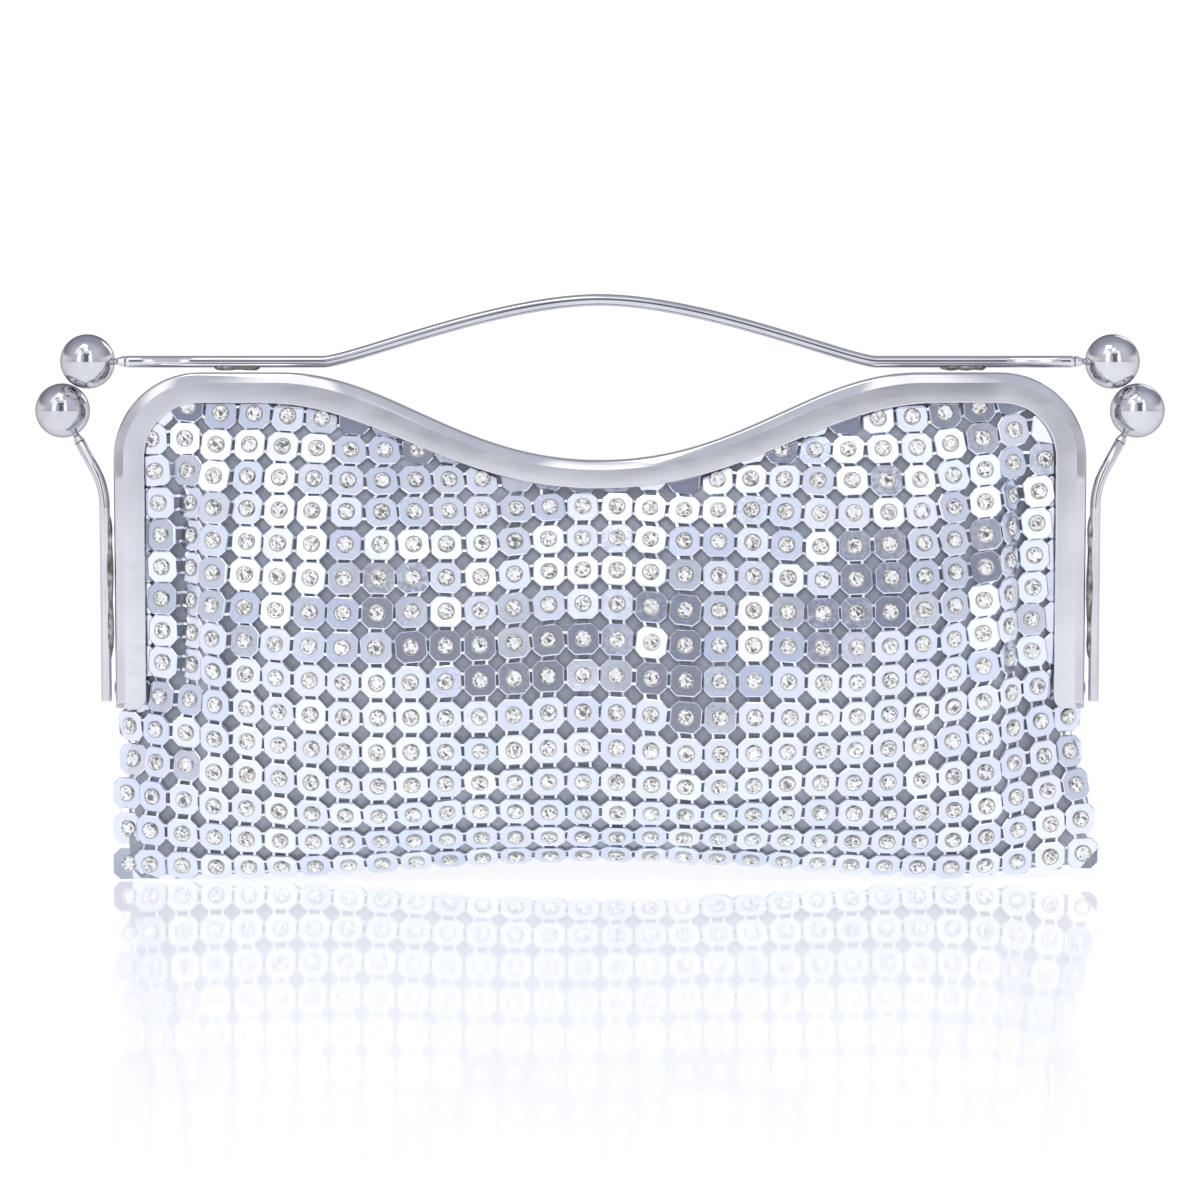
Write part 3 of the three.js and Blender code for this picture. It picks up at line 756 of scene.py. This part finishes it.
def cloth_material(name, dark, light, pitch, depth, **values):
    """Woven cloth, its thread pitch and depth in millimetres."""
    material, tree, shader = new_material(name, **values)
    cloth_map = add(tree, "ShaderNodeUVMap", uv_map="UVMap").outputs[0]
    height, uneven = use_group(tree, weave, {"Map": cloth_map, "Pitch": pitch * MM})
    # Painted shade: the colour darkens where the threads dip at their edges and crossings, mixed
    # with the slubs' real unevenness.
    shade = math(tree, "MULTIPLY_ADD", height, 0.6, math(tree, "MULTIPLY", uneven, 0.6))
    colour = banded(tree, shade, [(0.15, dark), (0.85, light)])
    tree.links.new(colour, shader.inputs["Base Color"])
    roughen(tree, shader, height, depth)
    return material


def cloth_sheet(name, columns, rows, place, size, thickness, material):
    """A sheet of cloth on a grid, with its map in metres and its real thickness."""
    sheet = shaped_grid(name, columns, rows, place)
    cloth_map = sheet.data.uv_layers.active
    cloth_map.name = "UVMap"
    spread = np.empty(len(cloth_map.data) * 2)
    cloth_map.data.foreach_get("uv", spread)
    spread = spread.reshape(-1, 2) * size
    cloth_map.data.foreach_set("uv", spread.astype(np.float32).ravel())
    only(sheet)
    thick = sheet.modifiers.new("thickness", "SOLIDIFY")
    thick.thickness = thickness * MM
    thick.offset = 0
    bpy.ops.object.modifier_apply(modifier=thick.name)
    smooth(sheet, 60)
    sheet.data.materials.append(material)
    return sheet


backing_material = cloth_material(
    "grey backing", (0.22, 0.235, 0.27), (0.62, 0.65, 0.72), 0.34, 0.10, Roughness=0.85
)
BACKING_SIZE = (0.255, 0.130)
BACKING_SHARE = 0.988
CLOTH_COLUMNS, CLOTH_ROWS = 110, 64
CLOTH_THICKNESS = 0.3
backings = {}
for side in (-1, 1):

    def place(column, row):
        even = column / CLOTH_COLUMNS * 2 - 1
        across = np.sin(even * np.pi / 2) * 0.35 + even * 0.65
        up = 0.012 + BACKING_SHARE * row / CLOTH_ROWS
        return skin(across * BACKING_SHARE, up, side, BACKING_INSET)

    backings[side] = cloth_sheet(
        "backing_cloth_" + CLOTH_NAME[side], CLOTH_COLUMNS, CLOTH_ROWS, place, BACKING_SIZE,
        CLOTH_THICKNESS, backing_material,
    )

# Plate mesh: about 850 small octagonal plates of rolled aluminium in rows over the backing, each
# with a round glass stone in a crimped cup. Pairs of flat prongs link each plate to the next.
PLATE_PITCH = 8.05
PLATE_HALF = 3.7
PLATE_CORNER = 1.55
PLATE_THICKNESS = 0.5
ROW_PITCH_LOW = 8.6
ROW_PITCH_HIGH = 7.5
ROW_PITCH_MIDDLE = 8.5
TUCKED = 2.6
SEAM_ROOM = 1.2
SQUEEZE = 4.1
SPAN_ACROSS = 0.022
SPAN_UP = 0.032
FIRST_ROW = 4.0
ROWS = 16
LOW_ROWS = 6
COLUMNS = 17
EDGE_SLOPE = 1.05
UNDER_FRAME = -3.6
STONE_ROOM = 0.1
TILT = np.radians(2.4)
luck = np.random.default_rng(41)


def row_distances(across):
    """Distance of each row from the bottom fold, along the cloth, at places across."""
    wider = (ROW_PITCH_MIDDLE - ROW_PITCH_HIGH) * (1 - np.abs(across) ** 1.5)
    low_row = np.arange(ROWS - 1)[:, None] < LOW_ROWS
    steps = np.where(low_row, ROW_PITCH_LOW, ROW_PITCH_HIGH + wider)
    return FIRST_ROW + np.vstack([0 * across, np.cumsum(steps, axis=0)])


def edge_room(centres):
    """How far each plate's centre is inside the frame's inner edge."""
    below = (edge_height(inner_edge, centres[..., 0]) - centres[..., 2]) / EDGE_SLOPE
    beside = INNER_HALF_WIDTH - np.abs(centres[..., 0])
    return np.minimum(below, np.where(centres[..., 2] > arm_end, beside, 99))


def unit(vectors):
    return vectors / np.linalg.norm(vectors, axis=1)[:, None]


def net(side):
    """Centres and axes of the plates on one side of the pouch, by row and column."""
    across = np.linspace(-1, 1, 321)
    up = np.linspace(0, 1, 241)
    grid_u, grid_v = np.meshgrid(across, up, indexing="ij")
    points = skin(grid_u, grid_v, side)
    climbs = np.linalg.norm(np.diff(points, axis=1), axis=2)
    climbs = np.concatenate([np.zeros((len(across), 1)), np.cumsum(climbs, axis=1)], axis=1)
    columns = np.arange(-COLUMNS, COLUMNS) + 0.5
    centres = np.full((ROWS, len(columns), 3), np.nan)
    axes = np.full((ROWS, len(columns), 3, 3), np.nan)
    for row, distances in enumerate(row_distances(across)):
        # The row's own line over the skin. Its plates sit at even steps along it, and those that
        # come past its ends are pushed in, slip under their neighbours, or are left off.
        known = distances < climbs[:, -1] + TUCKED
        height = np.array([np.interp(d, climb, up) for d, climb in zip(distances, climbs)])
        line = skin(across, height, side)
        run = np.r_[0, np.cumsum(np.linalg.norm(np.diff(line, axis=0), axis=1))]
        run = run - np.interp(0, across, run)
        wanted = columns * PLATE_PITCH + luck.normal(0, 0.08, len(columns))
        held = np.clip(wanted, run[0] + SEAM_ROOM, run[-1] - SEAM_ROOM)
        squeezed = np.abs(wanted - held)
        u = np.interp(held, run, across)
        off = (squeezed > SQUEEZE) | ~(np.interp(u, across, known) > 0.99)
        v = np.interp(u, across, height)
        slipped = np.maximum(np.interp(u, across, distances - climbs[:, -1]), 0)
        here = skin(u, v, side, 0.3 * np.minimum(slipped, 1) + 0.15 * squeezed)
        left, right = (
            skin(u + reach, np.interp(u + reach, across, height), side)
            for reach in (-SPAN_ACROSS, SPAN_ACROSS)
        )
        below, above = (skin(u, v + reach, side) for reach in (-SPAN_UP, SPAN_UP))
        along = unit(right - left)
        out = unit(np.cross(along, above - below))
        out *= np.where(out[:, 1:2] * side < 0, -1, 1)
        # Each plate leans and turns a little in its links.
        tilt = luck.normal(0, TILT, (len(columns), 3))
        upwards = np.cross(out, along)
        out = unit(out + along * tilt[:, :1] + upwards * tilt[:, 1:2])
        along = along + upwards * tilt[:, 2:] * 0.8
        along = unit(along - out * (along * out).sum(axis=1)[:, None])
        off |= edge_room(here) < UNDER_FRAME
        centres[row] = np.where(off[:, None], np.nan, here)
        axes[row] = np.stack([along, np.cross(out, along), out], axis=1)
    return centres, axes


def pattern_of(piece):
    """The points and faces of a small piece that is going to be repeated, in millimetres."""
    points = np.array([v.co for v in piece.data.vertices]) / MM
    # Extruding leaves the faces in any order, so each starts at its first point and all are sorted.
    faces = [list(face.vertices) for face in piece.data.polygons]
    faces = sorted(np.roll(face, -np.argmin(face)).tolist() for face in faces)
    bpy.data.objects.remove(piece)
    return points, faces


def repeated(name, pattern, centres, axes, material, side, node_names=()):
    """One mesh with a copy of the pattern at every centre, turned to its axes."""
    points, faces = pattern
    count = len(centres)
    placed = (np.einsum("pk,nkj->npj", points, axes) + centres[:, None]).reshape(-1, 3) * MM
    shift = np.arange(count) * len(points)
    all_faces = [[vertex + start for vertex in face] for start in shift for face in faces]
    mesh = bpy.data.meshes.new(name)
    mesh.from_pydata(placed.tolist(), [], all_faces)
    piece = bpy.data.objects.new(name, mesh)
    bpy.context.scene.collection.objects.link(piece)
    local_map = mesh.uv_layers.new(name="UVMap")
    order = np.empty(len(mesh.loops), int)
    mesh.loops.foreach_get("vertex_index", order)
    flat = np.tile(points[:, :2], (count, 1))[order]
    local_map.data.foreach_set("uv", flat.astype(np.float32).ravel())
    for label, spread in (("tone", count), ("glint", len(all_faces))):
        values = luck.random(spread)
        if label == "tone":
            values = np.repeat(values, len(faces))
        attribute = mesh.attributes.new(label, "FLOAT", "FACE")
        attribute.data.foreach_set("value", values.astype(np.float32))
    mesh.materials.append(material)
    if node_names:
        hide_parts(*node_names)
    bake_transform(piece)
    return piece


# One plate: a square blank with its corners cut and its upper edge coined to a narrow bevel.
plate = block((-PLATE_HALF, -PLATE_HALF, -PLATE_THICKNESS), (PLATE_HALF, PLATE_HALF, 0))
only(plate)
bpy.ops.object.mode_set(mode="EDIT")
bpy.ops.mesh.select_mode(type="EDGE")
bpy.ops.mesh.select_all(action="DESELECT")
bpy.ops.object.mode_set(mode="OBJECT")
for edge in plate.data.edges:
    ends = [plate.data.vertices[i].co for i in edge.vertices]
    edge.select = abs(ends[0].z - ends[1].z) > 0.1 * MM
bpy.ops.object.mode_set(mode="EDIT")
bpy.ops.mesh.bevel(offset=PLATE_CORNER * MM, segments=1)
bpy.ops.object.mode_set(mode="OBJECT")
edit_end(plate, (0, 0, 1))
bpy.ops.mesh.inset(thickness=0.22 * MM, depth=0.16 * MM)
bpy.ops.object.mode_set(mode="OBJECT")
plate_pattern = pattern_of(plate)



def round_blank(vertices, radius, middle_z):
    """A round blank half a millimetre high, in edit mode with its top selected."""
    deselect()
    bpy.ops.mesh.primitive_cylinder_add(
        vertices=vertices, radius=radius * MM, depth=0.5 * MM, location=(0, 0, middle_z * MM)
    )
    blank = bpy.context.object
    bpy.ops.object.transform_apply(location=True, rotation=True, scale=True)
    edit_end(blank, (0, 0, 1))
    return blank


# One stone: a brilliant cut with a small table, and the low cup that is crimped round it.
stone = round_blank(10, 1.84, 0.3)
for rise, narrow in ((0.28, 0.80), (0.22, 0.62)):
    draw_out((0, 0, rise), narrow)
    bpy.ops.transform.rotate(value=np.pi / 10, orient_axis="Z", center_override=(0, 0, 0))
bpy.ops.mesh.select_all(action="SELECT")
bpy.ops.mesh.quads_convert_to_tris()
bpy.ops.object.mode_set(mode="OBJECT")
stone_pattern = pattern_of(stone)

cup = round_blank(14, 2.06, 0.25)
bpy.ops.mesh.inset(thickness=0.2 * MM, depth=0.1 * MM)
bpy.ops.object.mode_set(mode="OBJECT")
cup_pattern = pattern_of(cup)

# Plate metal: bright rolled aluminium with a cold tint, and scuffs that run out from the cup.
plate_metal, tree, shader = new_material("plate metal", Metallic=0.82)
plate_map = add(tree, "ShaderNodeUVMap", uv_map="UVMap").outputs[0]
map_axes = add(tree, "ShaderNodeSeparateXYZ", [plate_map])
turned = math(tree, "ARCTAN2", map_axes.outputs[1], map_axes.outputs[0])
tone = add(tree, "ShaderNodeAttribute", attribute_name="tone").outputs["Fac"]
own_turn = math(tree, "MULTIPLY", tone, 40.0)
ray_place = add(
    tree, "ShaderNodeCombineXYZ", [math(tree, "MULTIPLY", turned, 5.0), own_turn, 0.0]
).outputs[0]
rays = add(tree, "ShaderNodeTexNoise", {"Vector": ray_place, "Scale": 2.2, "Detail": 2.0})
scuff = remap(tree, rays.outputs[0], 0.62, 0.72, 0.0, 1.0)
cloud_mark, line_mark = use_group(
    tree, polish_marks, {"Cloud Scale": 900.0, "Line Scale": 1800.0}
)
plate_colour = banded(
    tree, tone, [(0.0, (0.74, 0.79, 0.93)), (0.6, (0.82, 0.86, 0.97)), (1.0, (0.90, 0.93, 1.0))]
)
plate_colour = blend_colours(tree, math(tree, "MULTIPLY", scuff, 0.3), plate_colour, (1, 1, 1, 1))
tree.links.new(plate_colour, shader.inputs["Base Color"])
plate_haze = math(
    tree, "ADD", remap(tree, cloud_mark, 0.35, 0.65, 0.07, 0.15),
    math(tree, "MULTIPLY", scuff, 0.12),
)
tree.links.new(plate_haze, shader.inputs["Roughness"])
dents = math(tree, "ADD", cloud_mark, math(tree, "MULTIPLY", scuff, 0.15))
roughen(tree, shader, dents, 0.012, 0.4)

# Stone glass: foiled behind, with painted glints and reflections: at random some facets are painted
# flashing white, some dark, a few warm.
stone_glass, tree, shader = new_material(
    "foiled glass, painted glints", Roughness=0.04, IOR=1.6, Coat_Weight=0.6, Coat_Roughness=0.02
)
glint = add(tree, "ShaderNodeAttribute", attribute_name="glint").outputs["Fac"]
painted_facet_glints = banded(
    tree,
    glint,
    [
        (0.0, (0.10, 0.10, 0.10)), (0.13, (0.34, 0.33, 0.31)), (0.27, (0.66, 0.62, 0.52)),
        (0.38, (0.80, 0.80, 0.80)), (0.62, (0.97, 0.97, 0.97)),
    ],
    "CONSTANT",
)
# Painted reflections inside the stone: small dark specks darken the facets' colour.
sparkle = add(tree, "ShaderNodeTexVoronoi", {"Scale": 1500.0})
tree.links.new(add(tree, "ShaderNodeTexCoord").outputs["Object"], sparkle.inputs["Vector"])
painted_inner_darkening = remap(tree, sparkle.outputs["Distance"], 0.2, 0.6, 1.0, 0.7)
painted_facet_glints = blend_colours(tree, painted_inner_darkening, (0.25, 0.25, 0.24, 1), painted_facet_glints)
tree.links.new(painted_facet_glints, shader.inputs["Base Color"])
# The painted glint colour also glows a little as emission, though the stone is no lamp.
tree.links.new(painted_facet_glints, shader.inputs["Emission Color"])
shader.inputs["Emission Strength"].default_value = 0.25

cup_metal = nickel("cup metal", (0.36, 0.35, 0.31), (0.60, 0.59, 0.54), 0.18, 0.35, 0.01)
prong_metal = nickel("prong metal", (0.80, 0.82, 0.86), (0.95, 0.96, 0.98), 0.12, 0.25, 0.01)

# Prongs: short flat bars of the plates' own sheet, two to each side of a plate, which reach
# under the next plate and hold it. They lie a little below the plates' faces.
PRONG_APART = 1.6
PRONG_WIDTH = 0.62
PRONG_THICKNESS = 0.22
PRONG_DROP = 0.3
PRONG_START = 3.3
PRONG_LONGEST = 4.5


def prongs(centres, axes):
    """Middles and scaled axes of the flat bars between neighbouring plates."""
    middles, shapes = [], []
    for along, step in ((0, (0, 1)), (1, (1, 0))):
        rows, columns = centres.shape[:2]
        here = (slice(0, rows - step[0]), slice(0, columns - step[1]))
        there = (slice(step[0], rows), slice(step[1], columns))
        across = 1 - along
        for offset in (-PRONG_APART, PRONG_APART):
            start = centres[here] + axes[here][..., along, :] * PRONG_START
            start = start + axes[here][..., across, :] * offset
            end = centres[there] - axes[there][..., along, :] * PRONG_START
            end = end + axes[there][..., across, :] * offset
            reach = end - start
            length = np.linalg.norm(reach, axis=-1)
            forward = (reach * axes[here][..., along, :]).sum(axis=-1)
            good = np.isfinite(length) & (forward > 0.15) & (length < PRONG_LONGEST)
            run = reach[good]
            up = axes[here][..., 2, :][good]
            middles.append((start + end)[good] / 2 - up * PRONG_DROP)
            wide = unit(np.cross(up, run))
            up = unit(np.cross(run, wide))
            shapes.append(np.stack([run, wide * PRONG_WIDTH, up * PRONG_THICKNESS], axis=1))
    return np.concatenate(middles), np.concatenate(shapes)


deselect()
bpy.ops.mesh.primitive_cube_add(size=1 * MM)
prong_pattern = pattern_of(bpy.context.object)

for side in (-1, 1):
    centres, axes = net(side)
    shown = np.isfinite(centres[..., 0])
    stoned = shown & (edge_room(centres) > STONE_ROOM)
    name = CLOTH_NAME[side]
    replaced = ("mesh_front", "mesh_base") if side < 0 else ("mesh_rear",)
    plates = repeated(
        "plates_" + name, plate_pattern, centres[shown], axes[shown], plate_metal, side, replaced
    )
    stones = repeated(
        "stones_" + name, stone_pattern, centres[stoned], axes[stoned], stone_glass, side
    )
    cups = repeated("cups_" + name, cup_pattern, centres[stoned], axes[stoned], cup_metal, side)
    bars = repeated("prongs_" + name, prong_pattern, *prongs(centres, axes), prong_metal, side)
    backing = backings[side]
    nodes = ("backing_front", "backing_base") if side < 0 else ("backing_rear",)
    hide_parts(*nodes)
    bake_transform(backing)

# Lining: silver-grey satin, a front and a rear panel sewn together below the hinges and caught
# in the frame above them, a little narrower than the pouch and shorter at the bottom. A slip
# pocket is sewn on the rear panel.
LINING_INSET = 2.7
BOTTOM_ROOM = 5
SIDE_SHARE_LOW = 0.95
SIDE_SHARE_GAIN = 0.035
satin = cloth_material(
    "lining satin", (0.50, 0.52, 0.56), (0.70, 0.72, 0.76), 0.16, 0.015,
    Roughness=0.38, Sheen_Weight=0.4, Sheen_Roughness=0.3,
)
LINING_SIZE = (0.25, 0.128)
for side in (-1, 1):

    def place(column, row):
        u = column / CLOTH_COLUMNS * 2 - 1
        flat = skin(u * 0.995, row / CLOTH_ROWS, side)
        loose = fade(flat[:, 2], 6, 26) * fade(flat[:, 2], 100, 60)
        folds = (1.1 + np.sin(flat[:, 0] / 3.7 + 2 * np.sin(flat[:, 2] / 17))) * loose
        depth = np.abs(flat[:, 1])
        flat[:, 1] = side * (depth - np.minimum(LINING_INSET + folds, 0.85 * depth))
        flat[:, 0] *= SIDE_SHARE_LOW + SIDE_SHARE_GAIN * fade(flat[:, 2], 38, 50)
        bottom = fold_height(u) + BOTTOM_ROOM * (1 + np.abs(u) ** 6)
        flat[:, 2] = np.maximum(flat[:, 2], bottom)
        return flat

    name = CLOTH_NAME[side]
    lining = cloth_sheet(
        "satin_" + name, CLOTH_COLUMNS, CLOTH_ROWS, place, LINING_SIZE, CLOTH_THICKNESS, satin
    )
    nodes = ("lining_front", "lining_base") if side < 0 else ("lining_rear",)
    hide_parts(*nodes)
    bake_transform(lining)

pocket_low, pocket_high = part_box("slip_pocket")
POCKET_SIZE = (0.102, 0.024)
POCKET_COLUMNS, POCKET_ROWS = 40, 12
POCKET_STAND = 3.0
POCKET_GAPE = 0.8


def place_pocket(column, row):
    """The pocket follows the rear panel, and its upper edge gapes and dips in the middle."""
    x = pocket_low.x / MM + (pocket_high.x - pocket_low.x) / MM * column / POCKET_COLUMNS
    z = pocket_low.z / MM + (pocket_high.z - pocket_low.z) / MM * row / POCKET_ROWS
    u = x / CHANNEL_EDGE
    top = edge_height(inner_edge, x) + CLOTH_BITE
    fold = fold_height(u)
    behind = skin(u, (z - fold) / (top - fold), 1)
    gape = POCKET_GAPE * np.sin(np.pi * column / POCKET_COLUMNS) * row / POCKET_ROWS
    return np.c_[x, np.abs(behind[:, 1]) - LINING_INSET - POCKET_STAND - gape, z - gape]


pocket = cloth_sheet("pocket", POCKET_COLUMNS, POCKET_ROWS, place_pocket, POCKET_SIZE, 0.5, satin)
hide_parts("slip_pocket")
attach(pocket, "rear_half")

# Studio: a pale table, glossy close to the bag, in a white room with an overhead and a rear
# softbox. The polished metal mirrors the room: bright panels in front with a dark stand
# between them, and darker walls behind with a bright band at table height.
TABLE_SIZE = 6
GLOSS_START, GLOSS_END = -0.42, -0.04
deselect()
bpy.ops.mesh.primitive_plane_add(size=TABLE_SIZE)
table_top = bpy.context.object
table_top.name = "table_top"
table_paint, tree, shader = new_material(
    "table paint", Roughness=0.45, Coat_Roughness=0.05, Base_Color=(0.93, 0.93, 0.93, 1),
    Emission_Color=(0.97, 0.985, 1.0, 1), Emission_Strength=0.45, Specular_IOR_Level=0.05,
)
table_place = add(tree, "ShaderNodeTexCoord").outputs["Object"]
towards_viewer = add(tree, "ShaderNodeSeparateXYZ", [table_place]).outputs[1]
gloss = remap(tree, towards_viewer, GLOSS_START, GLOSS_END, 0.0, 1.0)
tree.links.new(gloss, shader.inputs["Coat Weight"])
table_top.data.materials.append(table_paint)

world = bpy.data.worlds.new("studio")
bpy.context.scene.world = world
world.use_nodes = True
tree = world.node_tree
tree.nodes.clear()
direction = add(tree, "ShaderNodeTexCoord").outputs["Generated"]
axes = add(tree, "ShaderNodeSeparateXYZ", [direction])
height = math(tree, "MULTIPLY_ADD", axes.outputs[2], 0.5, 0.5)
degrees = 180 / np.pi
forwards = math(tree, "MULTIPLY", axes.outputs[1], -1.0)
azimuth = math(tree, "MULTIPLY", math(tree, "ARCTAN2", axes.outputs[0], forwards), degrees)
elevation = math(tree, "MULTIPLY", math(tree, "ARCSINE", axes.outputs[2]), degrees)


def patch(from_azimuth, to_azimuth, from_elevation, to_elevation, soft):
    """A mask that is 1 inside a part of the room and fades out at its edges."""
    mask = 1.0
    for value, low, high in (
        (azimuth, from_azimuth, to_azimuth), (elevation, from_elevation, to_elevation)
    ):
        rising = remap(tree, value, low - soft, low + soft, 0.0, 1.0)
        falling = remap(tree, value, high - soft, high + soft, 1.0, 0.0)
        mask = math(tree, "MULTIPLY", mask, math(tree, "MULTIPLY", rising, falling))
    return mask


front_tone = banded(tree, height, [
    (0.0, (0.80, 0.82, 0.86)), (0.46, (0.76, 0.78, 0.82)), (0.49, (0.50, 0.51, 0.55)),
    (0.54, (0.66, 0.68, 0.76)), (0.85, (0.74, 0.77, 0.87)), (1.0, (0.60, 0.61, 0.72)),
])
rear_tone = banded(tree, height, [
    (0.0, (0.6, 0.6, 0.64)), (0.40, (0.36, 0.36, 0.41)), (0.485, (1, 1, 1)),
    (0.60, (1, 1, 1)), (0.66, (0.33, 0.33, 0.39)), (0.9, (0.42, 0.43, 0.52)),
])
turned_away = math(tree, "ABSOLUTE", azimuth)
tone = blend_colours(
    tree, remap(tree, turned_away, 55.0, 110.0, 0.0, 1.0), front_tone, rear_tone
)
# Each patch of the room is two azimuths, two elevations and its softness, in degrees: five
# bright panels, the grey side of the stand, and the dark stand itself with its cross bar.
for reach, colour in (
    ((-25, 14, -2, 35, 3), (1.6, 1.6, 1.62, 1)),
    ((-37, -24, -2, 45, 3), (1.6, 1.6, 1.62, 1)),
    ((14, 27, -2, 45, 3), (1.6, 1.6, 1.62, 1)),
    ((-11, 12, 43, 60, 2), (1.5, 1.5, 1.53, 1)),
    ((-54, -37, 30, 62, 5), (1.4, 1.4, 1.43, 1)),
    ((-20, -8, -3, 29, 2), (0.60, 0.64, 0.75, 1)),
    ((-8, 13, -6, 29, 1.5), (0.18, 0.19, 0.24, 1)),
    ((-14, 18, 27, 34, 1.5), (0.18, 0.19, 0.24, 1)),
):
    tone = blend_colours(tree, patch(*reach), tone, colour)
seen = add(tree, "ShaderNodeBackground", [(1.0, 1.0, 1.0, 1.0), 1.05])
reflected = add(tree, "ShaderNodeBackground", [tone, 1.0])
direct = add(tree, "ShaderNodeLightPath").outputs["Is Camera Ray"]
lit = add(tree, "ShaderNodeMixShader", [direct, reflected.outputs[0], seen.outputs[0]])
add(tree, "ShaderNodeOutputWorld", [lit.outputs[0]])


BAG_MIDDLE = Vector((0, 0, 0.07))


def softbox(name, azimuth, elevation, distance, width, height, radiance):
    """A rectangular light aimed at the middle of the bag, seen only in reflections."""
    lamp = bpy.data.lights.new(name, "AREA")
    lamp.shape = "RECTANGLE"
    lamp.size, lamp.size_y = width, height
    lamp.energy = np.pi * width * height * radiance
    holder = bpy.data.objects.new(name, lamp)
    bpy.context.scene.collection.objects.link(holder)
    a, e = np.radians(azimuth), np.radians(elevation)
    back = Vector((np.sin(a) * np.cos(e), -np.cos(a) * np.cos(e), np.sin(e)))
    holder.location = BAG_MIDDLE + back * distance
    holder.rotation_mode = "QUATERNION"
    holder.rotation_quaternion = back.to_track_quat("Z", "Y")
    holder.visible_camera = False


softbox("overhead_softbox", -30, 66, 1.4, 0.5, 0.4, 2.0)
softbox("rear_softbox", 150, 30, 1.5, 0.5, 0.7, 1.6)

# Camera: a long lens in front of the bag, looking slightly down at its middle.
CAMERA_TARGET = Vector((0, 0, 0.0677))
CAMERA_DISTANCE = 0.8
CAMERA_ELEVATION = np.radians(4)
lens = bpy.data.cameras.new("camera")
lens.lens = 100
lens.sensor_width = 36
camera = bpy.data.objects.new("camera", lens)
bpy.context.scene.collection.objects.link(camera)
away = Vector((0, -np.cos(CAMERA_ELEVATION), np.sin(CAMERA_ELEVATION)))
camera.location = CAMERA_TARGET + away * CAMERA_DISTANCE
camera.rotation_mode = "QUATERNION"
camera.rotation_quaternion = away.to_track_quat("Z", "Y")
bpy.context.scene.camera = camera
bpy.context.scene.view_settings.view_transform = "Standard"
